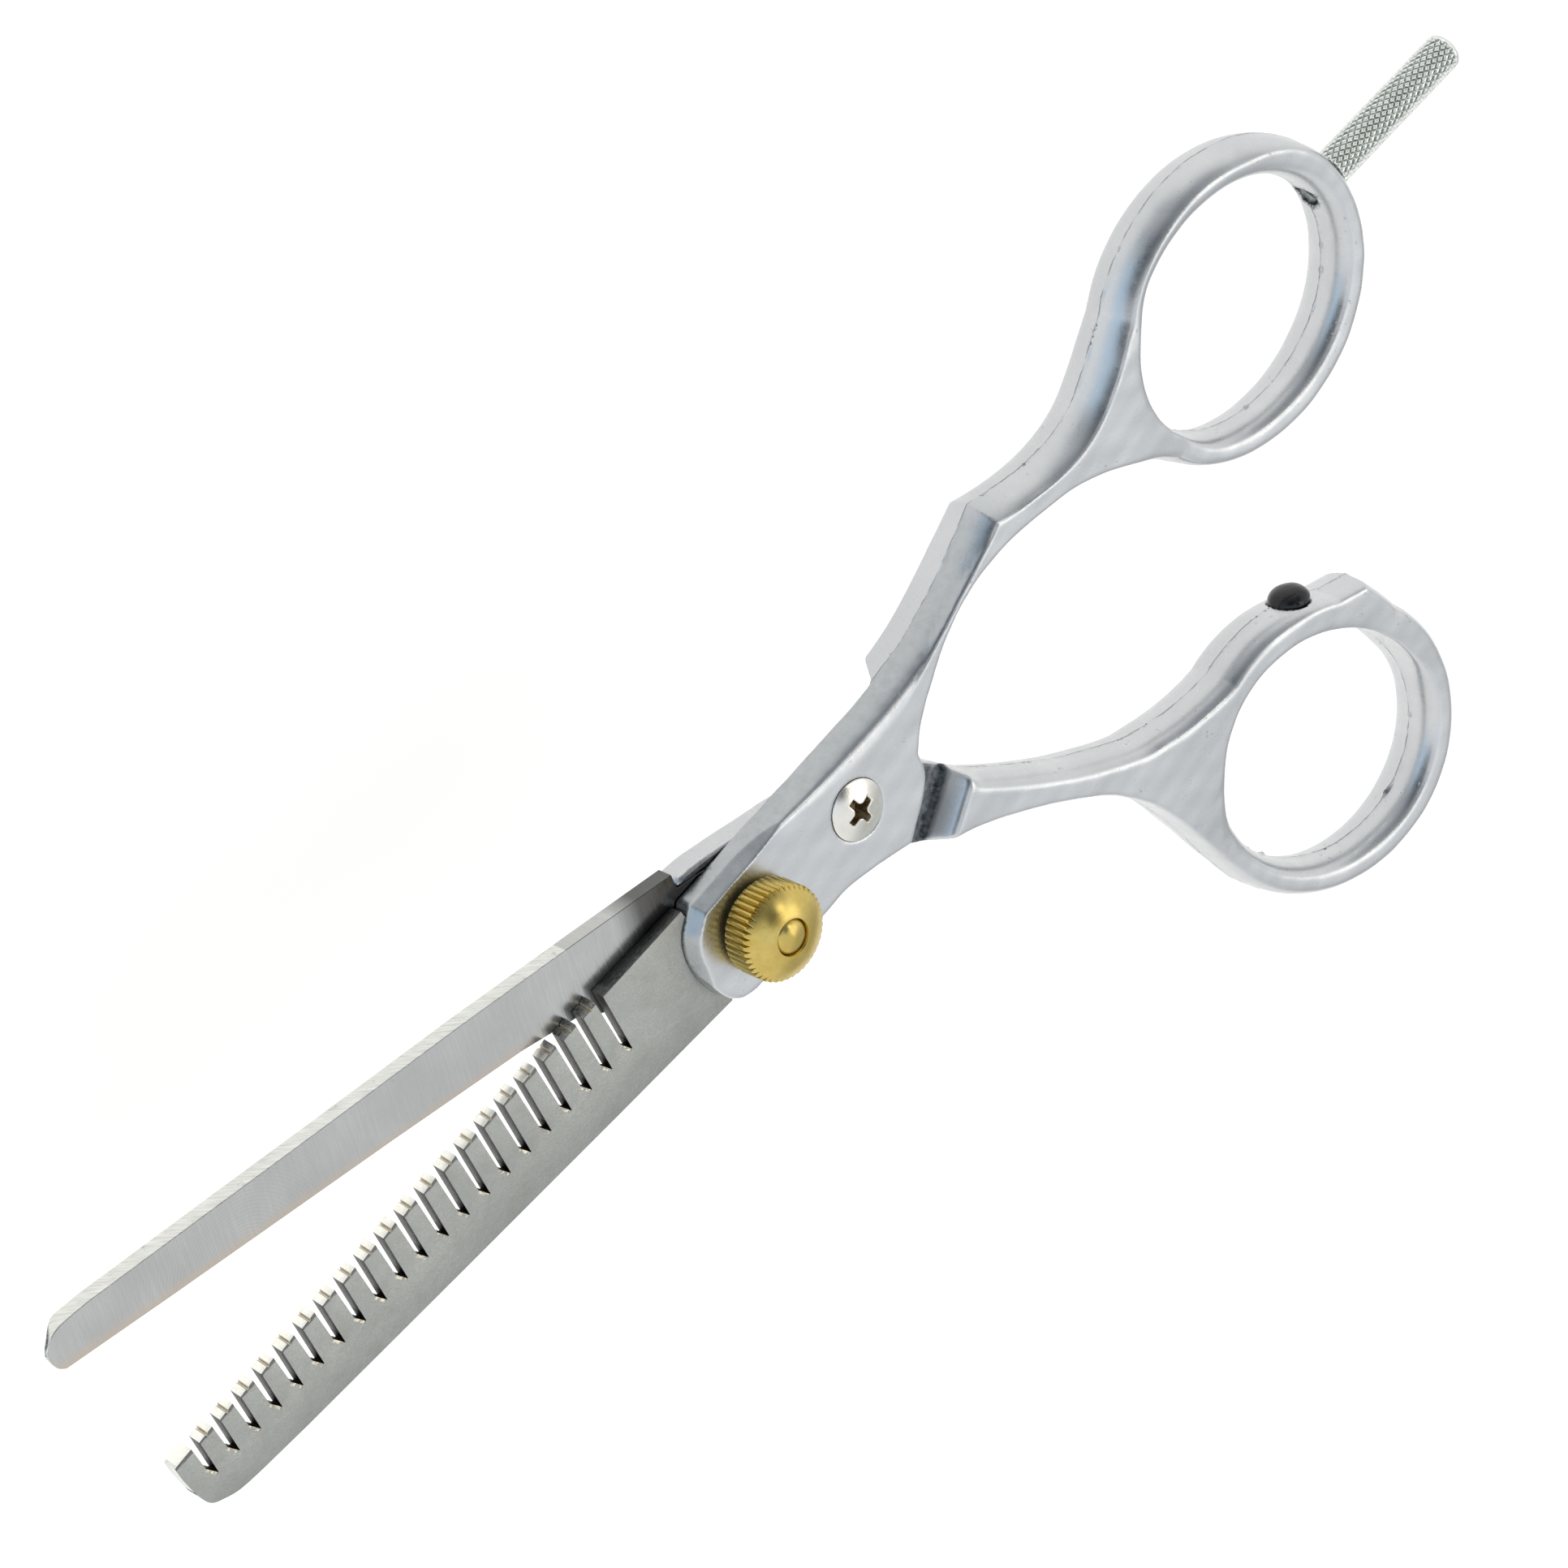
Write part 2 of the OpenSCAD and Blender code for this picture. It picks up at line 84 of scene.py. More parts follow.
# handle outlines in the drawing (x, y), counter-clockwise
FINGER_RIGHT = [[1.9, -4.4], [3.2, -1.8], [5.9, 3.4], [7.5, 6.7], [10.0, 9.9]]
FINGER_WING = [[12.9, 12.9], [12.3, 16.2], [11.3, 19.2], [9.3, 20.8]]
FINGER_NECK = [
    [9.3, 20.8], [8.2, 23.5], [7.5, 27.0], [7.1, 31.0], [7.4, 35.0], [8.4, 38.5], [10.0, 41.7],
    [12.3, 45.0], [15.0, 48.3], [18.3, 51.0], [22.0, 53.0], [26.0, 54.3], [30.0, 55.7]]
FINGER_IN_RING = [[30.0, 58.5], [22.0, 62.0], [16.0, 68.0]]          # hidden under the ring
FINGER_OUTER = [
    [11.6, 66.0], [12.2, 62.0], [12.8, 58.5], [12.9, 55.0], [12.2, 51.8], [10.6, 48.7],
    [8.2, 45.6], [5.75, 43.0]]
FINGER_BACK = [
    [5.75, 43.0], [5.75, 37.5], [5.2, 32.0], [4.1, 27.5], [2.3, 22.9], [-1.2, 15.7],
    [-5.4, 7.3], [-8.6, 0.4]]
FINGER_NOSE = [
    [-8.6, 0.4], [-7.9, -2.4], [-6.3, -4.3], [-3.8, -5.6], [-1.2, -6.1], [0.6, -5.7], [1.9, -4.4]]

THUMB_RIGHT = [[-2.8, -5.9], [-0.4, -4.8], [2.7, -2.2], [7.8, 4.0], [12.9, 10.2], [16.2, 13.2]]
THUMB_UNDER = [
    [16.2, 13.2], [20.0, 16.5], [26.1, 20.2], [32.8, 23.3], [36.5, 24.3], [40.5, 24.6],
    [44.5, 24.2], [48.5, 23.35], [52.5, 22.35], [57.5, 21.5]]
THUMB_IN_RING = [[58.0, 26.0], [60.0, 36.0], [66.0, 44.0]]           # hidden under the ring
THUMB_HUMP = [[69.0, 48.5], [65.0, 50.5], [60.1, 51.8], [55.45, 52.35]]
THUMB_OUTER = [
    [55.45, 52.35], [50.5, 47.9], [46.2, 43.8], [44.0, 40.2], [42.5, 37.2], [40.5, 34.2],
    [38.0, 31.4], [35.5, 29.2], [30.0, 26.0], [24.0, 23.3], [18.0, 21.2], [12.3, 20.0],
    [5.5, 17.0], [0.2, 12.8], [-3.5, 9.0], [-7.4, 4.8], [-9.2, 2.4]]
THUMB_NOSE = [[-9.2, 2.4], [-9.0, 0.2], [-8.0, -2.2], [-5.6, -4.9], [-2.8, -5.9]]

# blade outlines (x, y), each along its own x axis from the pivot
STRAIGHT_LEN, TOOTHED_LEN = 77.3, 72.0
STRAIGHT_TIP = [
    [STRAIGHT_LEN - 5.3, -5.15], [STRAIGHT_LEN - 1.9, -4.7], [STRAIGHT_LEN - 0.4, -3.7],
    [STRAIGHT_LEN, -2.6], [STRAIGHT_LEN - 0.4, -1.3], [STRAIGHT_LEN - 1.2, -0.68]]
STRAIGHT_TANG = [[-18, -3.4], [-16.5, -4.6], [2, -5.9], [5.2, -5.9]]
STRAIGHT_BODY = [[5.4, -7.45], [16, -7.25], [30, -6.9], [46, -6.2], [59, -5.7]]
STRAIGHT_CUT = [
    [65, -0.70], [55, -0.78], [40, -0.92], [25, -0.92], [19, -0.5], [15, 1.2], [11, 3.6],
    [7.5, 4.4], [4.9, 4.2], [0, 4.2], [-16.5, 3.6], [-18, 2.6]]
TOOTHED_TIP = [
    [TOOTHED_LEN - 7, 6.0], [TOOTHED_LEN - 4, 5.85], [TOOTHED_LEN - 2.2, 5.3],
    [TOOTHED_LEN - 1, 4.6], [TOOTHED_LEN - 0.4, 3.0], [TOOTHED_LEN - 0.05, 0.6],
    [TOOTHED_LEN, -0.85]]
TOOTHED_BACK = [
    [60, 6.05], [40, 5.95], [20, 5.8], [5.2, 5.6], [5.0, 4.3], [0, 4.3], [-16.5, 3.9],
    [-18, 2.8], [-18, -3.4], [-16.5, -4.5], [0, -4.6], [5.2, -4.6]]

# teeth: the line of their ends, the line of the slot tops, and the slots between them
EDGE_X, EDGE_Y, EDGE_SLOPE = 71.9, -0.92, 0.080
SLOT_TOP_X, SLOT_TOP_Y, SLOT_TOP_SLOPE = 16, 1.35, 0.0246
SLOTS, PITCH, LAST_SLOT_X = 21, 2.647, 69.45
SLOT_LEFT, SLOT_RIGHT = 0.57, 0.36     # slot walls from the slot's x
SLOT_CORNER = (0.22, 1.18)             # foot of the slanted slot top: along, and down
GROOVE_BACK, NOTCH = 1.5, 0.22         # tooth-end groove: distance from the slot, depth


# ------------------------------------------------------------------ plane geometry
def curve(points, steps=10):
    """Catmull-Rom curve through the points, without its last one."""
    points = np.asarray(points, float)
    last = len(points) - 1
    out = []
    for i in range(last):
        before, start = points[max(i - 1, 0)], points[i]
        end, after = points[i + 1], points[min(i + 2, last)]
        for k in range(steps):
            t = k / steps
            out.append(0.5 * (2 * start + (end - before) * t
                              + (2 * before - 5 * start + 4 * end - after) * t * t
                              + (3 * start - before - 3 * end + after) * t ** 3))
    return np.array(out)


def join(*parts):
    return np.vstack([np.asarray(part, float).reshape(-1, 2) for part in parts])


def rotate(points, angle):
    points = np.asarray(points, float)
    c, s = math.cos(angle), math.sin(angle)
    return np.stack([points[..., 0] * c - points[..., 1] * s,
                     points[..., 0] * s + points[..., 1] * c], -1)


def to_model(points):
    return rotate(np.asarray(points, float) - PIVOT_AT, DRAWING_TURN)


def to_drawing(points):
    return rotate(points, -DRAWING_TURN) + PIVOT_AT


def solid_to_model(vertices):
    return np.column_stack([to_model(vertices[:, :2]), vertices[:, 2]])


def ellipse(centre, radii, degrees):
    angles = np.linspace(0, 2 * math.pi, 240, endpoint=False)
    points = np.stack([radii[0] * np.cos(angles), radii[1] * np.sin(angles)], -1)
    return rotate(points, math.radians(degrees)) + np.array(centre)


def tooth_edge(x):
    if x > 26:
        return EDGE_Y - EDGE_SLOPE * (EDGE_X - x)
    return -4.59 - 0.06 * (26 - x)


def slot_top(x):
    return SLOT_TOP_Y + SLOT_TOP_SLOPE * (x - SLOT_TOP_X)


def toothed_outline():
    """Counter-clockwise outline with the slots and tooth grooves folded in."""
    teeth = [[5.4, tooth_edge(5.4)]]
    for i in range(SLOTS - 1, -1, -1):
        x = LAST_SLOT_X - PITCH * i
        groove = x - GROOVE_BACK
        if i < SLOTS - 1:
            for offset, rise in ((-0.17, 0), (-0.02, NOTCH), (0.02, NOTCH), (0.17, 0)):
                teeth.append([groove + offset, tooth_edge(groove + offset) + rise])
        top = slot_top(x)
        left, right = x - SLOT_LEFT, x + SLOT_RIGHT
        teeth += [[left, tooth_edge(left) + 0.10], [x - 0.56, top - 0.12], [left, top],
                  [x - 0.50, top], [x + SLOT_CORNER[0], top - SLOT_CORNER[1]],
                  [right, tooth_edge(right) - 0.10]]
    teeth.append([71.7, tooth_edge(71.7)])
    return join(teeth, curve(TOOTHED_TIP[::-1], 4), TOOTHED_TIP[0], TOOTHED_BACK)


FINGER_LINE = join(curve(FINGER_RIGHT), curve(FINGER_WING), curve(FINGER_NECK), FINGER_NECK[-1],
                   FINGER_IN_RING, curve(FINGER_OUTER), curve(FINGER_BACK), curve(FINGER_NOSE))
THUMB_LINE = join(curve(THUMB_RIGHT), curve(THUMB_UNDER), THUMB_UNDER[-1], THUMB_IN_RING,
                  curve(THUMB_HUMP), curve(THUMB_OUTER), curve(THUMB_NOSE))
STRAIGHT_LINE = join(STRAIGHT_TANG, STRAIGHT_BODY, curve(STRAIGHT_TIP, 6), STRAIGHT_TIP[-1],
                     STRAIGHT_CUT)
TOOTHED_PLAIN = join([[x, tooth_edge(x)] for x in (5.4, 16, 26, 71.7)], TOOTHED_TIP[::-1],
                     TOOTHED_BACK)

# blade screws: one in each blade's tang, mirrored across the blade
STRAIGHT_SCREW = np.array([-13.8, 1.4])
TOOTHED_SCREW = STRAIGHT_SCREW * (1, -1)              # in the toothed blade's own frame
TOOTHED_SCREW_MODEL = rotate(TOOTHED_SCREW, TOOTHED_TURN)


# ------------------------------------------------------------------ distance fields
def inside(polygon, X, Y):
    result = np.zeros(X.shape, bool)
    x0, y0 = polygon[:, 0], polygon[:, 1]
    x1, y1 = np.roll(x0, -1), np.roll(y0, -1)
    for a, b, c, d in zip(x0, y0, x1, y1):
        if b == d:
            continue
        spans = (Y < b) != (Y < d)
        result ^= spans & (X < (c - a) * (Y - b) / (d - b) + a)
    return result


def segment_distance(segments, X, Y):
    best = np.full(X.shape, 1e9, np.float32)
    for (a, b), (c, d) in segments:
        run, rise = c - a, d - b
        squared = run * run + rise * rise
        if squared < 1e-12:
            continue
        dx, dy = X - np.float32(a), Y - np.float32(b)
        t = np.clip((dx * np.float32(run) + dy * np.float32(rise)) / np.float32(squared), 0, 1)
        dx -= t * np.float32(run)
        dy -= t * np.float32(rise)
        np.minimum(best, dx * dx + dy * dy, out=best)
    return np.sqrt(best)


def line_distance(points, X, Y):
    points = np.asarray(points, float)
    return segment_distance(list(zip(points[:-1], points[1:])), X, Y)


def segments_of(polygon):
    return [(polygon[i], polygon[(i + 1) % len(polygon)]) for i in range(len(polygon))]


def depth(polygon, X, Y):
    """Distance into a polygon, negative outside."""
    distance = segment_distance(segments_of(polygon), X, Y)
    return np.where(inside(polygon, X, Y), distance, -distance)


def depth_union(first, second, X, Y):
    def outside_other(polygon, other):
        segments = segments_of(polygon)
        middles = np.array([(np.array(a) + np.array(b)) / 2 for a, b in segments])
        kept = ~inside(other, middles[:, 0], middles[:, 1])
        return [segments[i] for i in np.nonzero(kept)[0]]
    segments = outside_other(first, second) + outside_other(second, first)
    distance = segment_distance(segments, X, Y)
    return np.where(inside(first, X, Y) | inside(second, X, Y), distance, -distance)


def side_of_line(line, X, Y):
    """Signed distance from the line, positive to the left of its direction."""
    start, end = np.array(line, float)
    along = (end - start) / np.linalg.norm(end - start)
    normal = np.array([-along[1], along[0]])
    return ((X - start[0]) * normal[0] + (Y - start[1]) * normal[1]).astype(np.float32)


def angle_off(X, Y, centre, degrees):
    """Degrees between a point's bearing from the centre and the given bearing."""
    difference = np.degrees(np.arctan2(Y - centre[1], X - centre[0])) - degrees
    return (difference + 180) % 360 - 180


def smooth(low, high, x):
    t = np.clip((x - low) / (high - low), 0, 1)
    return t * t * (3 - 2 * t)


def between(start, end, t):
    return start + (end - start) * t


def smooth_min(a, b, radius):
    h = np.maximum(radius - np.abs(a - b), 0) / radius
    return np.minimum(a, b) - h * h * radius * 0.25


def smooth_max(a, b, radius):
    return -smooth_min(-a, -b, radius)


# fourteen sine waves in random directions, 2.2 to 9 mm long
rng = np.random.RandomState(7)
WAVE_DIRS = rng.normal(size=(14, 3)).astype(np.float32)
WAVE_DIRS /= np.linalg.norm(WAVE_DIRS, axis=1)[:, None]
WAVE_RATES = (2 * math.pi / np.linspace(2.2, 9.0, 14)).astype(np.float32)
WAVE_PHASES = rng.uniform(0, 6.28, 14).astype(np.float32)


def waves(X, Y, Z, scale=1.0):
    total = 0
    for way, rate, phase in zip(WAVE_DIRS, WAVE_RATES, WAVE_PHASES):
        total = total + np.sin((X * way[0] + Y * way[1] + Z * way[2]) * (rate * scale) + phase)
    return total / 14.0 ** 0.5


# ------------------------------------------------------------------ meshing
def surface_net(field, origin, step):
    """Quads on the surface field = 0 (positive inside), one vertex per crossed cell."""
    cells = tuple(count - 1 for count in field.shape)
    ids, points, quads = [], [], []
    for axis in range(3):
        lower, upper = [slice(None)] * 3, [slice(None)] * 3
        lower[axis], upper[axis] = slice(0, -1), slice(1, None)
        low, high = field[tuple(lower)], field[tuple(upper)]
        crossed = (low > 0) != (high > 0)
        index = np.argwhere(crossed)
        low, high = low[crossed], high[crossed]
        position = index.astype(np.float64)
        position[:, axis] += low / (low - high)
        side1, side2 = [other for other in range(3) if other != axis]
        corners = []
        for shift1, shift2 in ((0, 0), (-1, 0), (-1, -1), (0, -1)):
            cell = index.copy()
            cell[:, side1] += shift1
            cell[:, side2] += shift2
            cell_id = (cell[:, 0] * cells[1] + cell[:, 1]) * cells[2] + cell[:, 2]
            corners.append(cell_id)
            ids.append(cell_id)
            points.append(position)
        quad = np.stack(corners, 1)
        flip = (low < 0) != (axis == 1)
        quad[flip] = quad[flip][:, ::-1]
        quads.append(quad)
    ids, points, quads = np.concatenate(ids), np.concatenate(points), np.concatenate(quads)
    used, inverse = np.unique(ids, return_inverse=True)
    total = len(used)
    counts = np.bincount(inverse, minlength=total).astype(float)
    vertices = np.stack([np.bincount(inverse, weights=points[:, k], minlength=total) / counts
                         for k in range(3)], 1)
    return vertices * step + np.asarray(origin, float), np.searchsorted(used, quads)


def add_object(name, mesh):
    ob = bpy.data.objects.new(name, mesh)
    scene.collection.objects.link(ob)
    return ob


def make_mesh(name, vertices, faces):
    """Object from vertices in mm and faces that all have the same number of corners."""
    mesh = bpy.data.meshes.new(name)
    vertices = np.asarray(vertices, np.float32) * np.float32(MM)
    faces = np.asarray(faces)
    corners = faces.shape[1]
    mesh.vertices.add(len(vertices))
    mesh.vertices.foreach_set("co", vertices.ravel())
    mesh.loops.add(faces.size)
    mesh.loops.foreach_set("vertex_index", faces.ravel().astype(np.int32))
    mesh.polygons.add(len(faces))
    mesh.polygons.foreach_set("loop_start", np.arange(0, faces.size, corners, dtype=np.int32))
    mesh.polygons.foreach_set("loop_total", np.full(len(faces), corners, np.int32))
    mesh.update(calc_edges=True)
    mesh.validate()
    return add_object(name, mesh)


def object_from(bm, name):
    mesh = bpy.data.meshes.new(name)
    bm.to_mesh(mesh)
    bm.free()
    return add_object(name, mesh)


@contextmanager
def editing(mesh):
    bm = bmesh.new()
    bm.from_mesh(mesh)
    yield bm
    bm.to_mesh(mesh)
    bm.free()


def weld(ob):
    with editing(ob.data) as bm:
        bmesh.ops.remove_doubles(bm, verts=list(bm.verts), dist=1e-7)
        bmesh.ops.dissolve_degenerate(bm, edges=list(bm.edges), dist=1e-9)
        bmesh.ops.recalc_face_normals(bm, faces=list(bm.faces))


def shade(ob, sharp=None):
    """Smooth shading; edges over `sharp` degrees stay sharp."""
    mesh = ob.data
    mesh.polygons.foreach_set("use_smooth", np.ones(len(mesh.polygons), bool))
    if sharp is not None:
        mesh.set_sharp_from_angle(angle=math.radians(sharp))
    mesh.update()


def read_vectors(items, field):
    values = np.zeros(len(items) * 3, np.float32)
    items.foreach_get(field, values)
    return values.reshape(-1, 3)


# ------------------------------------------------------------------ cast handles
GRID = 0.17          # sampling step
SQUARE_R = 0.12      # edge rounding on the square-sided plates
ROUND_R = 1.75       # what the bars and rings add to it
DRAFT = np.float32(0.07)
LENS = 0.13          # further lean of a lens-shaped upper half, from the parting line


def edge_hole(field, X, Y, Z, *, at, direction, hole_r, hole_depth, face_r, face_at):
    """Round hole along a bearing in the drawing plane, with a flat spot face outside it."""
    c, s = math.cos(direction), math.sin(direction)
    along = (X - at[0]) * c + (Y - at[1]) * s
    across = -(X - at[0]) * s + (Y - at[1]) * c
    radius = np.sqrt(across * across + Z * Z)
    field = np.minimum(field, np.maximum(radius - hole_r, -(along + hole_depth)))
    return np.minimum(field, np.maximum(radius - face_r, face_at - along))


def build_handle(name, *, line, ring, hole, side, blade, blade_thick, screw, style, step,
                 fillet, edge, drilled, box, facet=None):
    """A cast handle; `side` is +1 when its plate lies above the mating plane, -1 below."""
    x0, y0, x1, y1 = box
    xs = np.arange(x0, x1, GRID, dtype=np.float32)
    ys = np.arange(y0, y1, GRID, dtype=np.float32)
    zs = np.arange(-HALF_THICK - 2.5 * GRID, HALF_THICK + 2.6 * GRID, GRID).astype(np.float32)
    X, Y = np.meshgrid(xs, ys, indexing="ij")
    outer_inset = depth_union(line, ellipse(*ring), X, Y).astype(np.float32)[:, :, None]
    hole_inset = -depth(ellipse(*hole), X, Y).astype(np.float32)[:, :, None]
    maps = {key: np.asarray(value, np.float32)[:, :, None]
            for key, value in style(X, Y).items()}
    hole_radius = maps.pop("hole")
    thick = HALF_THICK + (RING_HALF_THICK - HALF_THICK) * maps.pop("ring")
    X3, Y3, Z = X[:, :, None], Y[:, :, None], zs[None, None, :]
    noise = waves(X3, Y3, Z * 0.4)
    ridge = np.exp(-(Z / 0.22) ** 2)                 # cast ridge along the parting line
    face = thick - np.abs(Z)
    upper = (Z > 0).astype(np.float32)

    def wall(inset, burr, top, bottom, blend, bulge=1, lift=0.0, lens=0.0):
        """Side wall with radius `top` above the parting line and `bottom` below it."""
        radius = top * upper + bottom * (1 - upper)
        # 0 on the square-sided plate, 1 on the bars and rings
        full = np.minimum((radius - SQUARE_R) / ROUND_R + lift * upper, 1)
        lean = DRAFT + LENS * lens * full * upper
        inward = SQUARE_R + (ROUND_R - LENS * lens * thick * upper) * full
        # the rounding takes the whole half height on a lens and below, else only the top of it
        whole = np.maximum(lens, 1 - upper)
        height = thick * whole + (1 - whole) * np.minimum(thick, 1.25 * inward + 0.35)
        rise = np.clip((np.abs(Z) - (thick - height)) / (height * bulge), 0, 0.997)
        root = np.sqrt(1 - rise * rise)
        pulled = lean * np.abs(Z) + inward * (1 - root)
        slope = lean + inward * rise / (height * bulge * root)
        return smooth_min((inset + burr - pulled) / np.sqrt(1 + slope * slope), face, blend)

    outer = wall(outer_inset, ridge * (0.04 + 0.035 * noise), **maps)
    if facet:
        amount = facet(X, Y)[:, :, None]
        down, inwards = 0.95 * amount + 0.02, 1.67 * amount + 0.03     # legs of the facet
        # the facet's plane cuts the edge between wall and face
        outer = np.minimum(outer, (outer_inset * inwards + face * down - down * inwards)
                           / np.sqrt(down * down + inwards * inwards))
    hole_burr = ridge * (0.05 + 0.09 * np.maximum(waves(X3, Y3, 0, 2.3), 0) ** 2)
    field = np.minimum(outer, wall(hole_inset, hole_burr, hole_radius, hole_radius, 0.25))
    del outer
    field += np.float32(0.016) * noise

    # half-lap: short of the step nothing is left across the mating plane
    plate_z = Z * side
    lean = 0.5
    step_wall = (side_of_line(step, X, Y)[:, :, None] + lean * (plate_z - GAP)) \
        / math.sqrt(1 + lean * lean)
    keep = smooth_max(plate_z - GAP, step_wall.astype(np.float32), np.float32(fillet))
    field = smooth_min(field, keep, np.float32(edge))
    # seat for the blade's tang
    tang = depth(blade, X, Y).astype(np.float32)[:, :, None]
    field = np.minimum(field, np.maximum(plate_z - (blade_thick + GAP + 0.05), -tang - 0.06))
    # pivot bore
    pivot_radius = np.hypot(X3 - PIVOT_AT[0], Y3 - PIVOT_AT[1])
    field = np.minimum(field, pivot_radius - (JOURNAL_R + 0.06))
    # screw hole with its countersink
    screw_radius = np.hypot(X3 - screw[0], Y3 - screw[1])
    sink = np.clip(1.56 + (plate_z - (HALF_THICK - 1.5)), 1.56, 3.1)
    field = np.minimum(field, (screw_radius - sink) * 0.8)
    field = edge_hole(field, X3, Y3, Z, **drilled)

    vertices, faces = surface_net(field.astype(np.float32), (xs[0], ys[0], zs[0]), GRID)
    ob = make_mesh(name, solid_to_model(vertices), faces)
    shade(ob)
    return ob


# A style gives maps over the drawing: ring thickness, wall radii (top, bottom, hole), blend
# between wall and face, and where it matters the bulge, lift and lens of the outer wall.
def finger_style(X, Y):
    outer = line_distance(FINGER_OUTER + FINGER_BACK, X, Y)
    inner = line_distance(FINGER_RIGHT + FINGER_WING + FINGER_NECK, X, Y)
    left = smooth(-0.9, 0.9, inner - outer)
    ring = smooth(4.0, 13.0, np.hypot(X - 15.0, Y - 53.5)) \
        * smooth(-2, 6, (X - 12) * 0.35 + (Y - 52) * 0.94)
    ring_left = 1 - smooth(62, 98, np.abs(angle_off(X, Y, FINGER_HOLE[0], 188)))
    left = left * (1 - ring) + ring * ring_left
    # the hole's wall stays square where the shank joins the ring
    web = 1 - smooth(24, 52, np.abs(angle_off(X, Y, FINGER_HOLE[0], -121)))
    # outer wall: square on the plate, a lens-shaped bar above the shoulder on the left,
    # flatter round the ring's right side
    bar = smooth(35.0, 46.0, Y)
    far = smooth(22, 31, X + 0.5 * (Y - 56) * (Y > 56))
    return dict(
        ring=ring,
        top=SQUARE_R + 0.62 * far * (1 - left) + ROUND_R * bar * left,
        bottom=SQUARE_R + 1.15 * np.maximum(far, ring) * (1 - left) + 1.25 * bar * left,
        hole=0.15 + 1.25 * (1 - web),
        blend=between(0.16, 0.45 - 0.30 * bar, left),
        bulge=1 + 0.05 * (left * bar * (1 - ring)),
        lift=0.60 * left * smooth(7, 18, Y) * (1 - bar),
        lens=left)


def thumb_style(X, Y):
    outer = line_distance(THUMB_OUTER, X, Y)
    hump = line_distance(THUMB_HUMP, X, Y)
    inner = line_distance(THUMB_RIGHT + THUMB_UNDER, X, Y)
    up = smooth(-0.9, 0.9, inner - np.minimum(outer, hump))
    ring = smooth(3.0, 12.0, (X - 42) * 0.97 - (Y - 28) * 0.24)
    # 1 along the flat-sided stretch of the hole's wall
    crisp = 1 - smooth(66, 98, np.abs(angle_off(X, Y, THUMB_HOLE[0], 137)))
    bar = smooth(15.5, 18.5, X)
    low_bar = smooth(46, 58, X)
    top_up = SQUARE_R + bar * (1.35 - 0.82 * smooth(46.5, 53.0, X) + 0.25 * smooth(64, 74, X))
    return dict(
        ring=ring * (1 - 0.6 * crisp),
        top=between(0.14 + 0.66 * low_bar, top_up, up),
        bottom=0.14 + 1.10 * (up * bar + (1 - up) * low_bar),
        hole=0.15 + 1.25 * (1 - crisp),
        blend=between(0.18, 0.6 - 0.45 * bar, up),
        bulge=1 + 0.03 * up * bar * (1 - smooth(50, 58, X)))


def finger_facet(X, Y):
    """1 along the plate's lower left edge, fading out upwards and to the right."""
    return ((1 - smooth(5, 17, Y)) * (1 - smooth(-3.5, 1.0, X - 0.45 * Y))).astype(np.float32)


finger = build_handle(
    "finger_handle_casting", line=FINGER_LINE, ring=FINGER_RING, hole=FINGER_HOLE, side=1,
    blade=to_drawing(rotate(TOOTHED_PLAIN, TOOTHED_TURN)), blade_thick=TOOTHED_THICK,
    screw=to_drawing(TOOTHED_SCREW_MODEL), style=finger_style, facet=finger_facet,
    step=FINGER_STEP, fillet=0.5, edge=0.3, box=(-10.4, -8.0, 43.2, 88.2),
    drilled=dict(at=REST_AT, direction=REST_DIR, hole_r=1.30, hole_depth=6.0,
                 face_r=2.05, face_at=0.1))
thumb = build_handle(
    "thumb_handle_casting", line=THUMB_LINE, ring=THUMB_RING, hole=THUMB_HOLE, side=-1,
    blade=to_drawing(STRAIGHT_LINE), blade_thick=STRAIGHT_THICK,
    screw=to_drawing(STRAIGHT_SCREW), style=thumb_style,
    step=THUMB_STEP, fillet=0.8, edge=0.55, box=(-11.0, -8.0, 78.6, 54.2),
    drilled=dict(at=BUMPER_AT, direction=BUMPER_DIR, hole_r=1.05, hole_depth=1.85,
                 face_r=2.18, face_at=0.2))


# ------------------------------------------------------------------ blades
def toothed_blade():
    """Flat plate with pivot and screw holes, its edges eased."""
    bm = bmesh.new()
    loops = [toothed_outline()]
    for x, y, radius in ((0, 0, JOURNAL_R + 0.05), (*TOOTHED_SCREW, 1.52)):
        angles = np.linspace(0, -2 * math.pi, 48, endpoint=False)
        loops.append(np.stack([x + radius * np.cos(angles), y + radius * np.sin(angles)], -1))
    edges = []
    for loop in loops:
        verts = [bm.verts.new((point[0] * MM, point[1] * MM, GAP * MM))
                 for point in rotate(loop, TOOTHED_TURN)]
        for i in range(len(verts)):
            edges.append(bm.edges.new((verts[i], verts[(i + 1) % len(verts)])))
    bmesh.ops.triangle_fill(bm, edges=edges, use_beauty=True, use_dissolve=False)
    extruded = bmesh.ops.extrude_face_region(bm, geom=list(bm.faces))["geom"]
    top = [item for item in extruded if isinstance(item, bmesh.types.BMVert)]
    bmesh.ops.translate(bm, verts=top, vec=(0, 0, (TOOTHED_THICK + GAP - GAP) * MM))
    bmesh.ops.recalc_face_normals(bm, faces=list(bm.faces))
    rims = [edge for edge in bm.edges
            if len(edge.link_faces) == 2 and edge.calc_face_angle(0) > math.radians(35)
            and abs(edge.verts[0].co.z - edge.verts[1].co.z) < 1e-7]
    bmesh.ops.bevel(bm, geom=rims, offset=0.05 * MM, segments=2, profile=0.6, affect="EDGES",
                    clamp_overlap=True)
    ob = object_from(bm, "toothed_blade_plate")
    shade(ob, 32)
    return ob


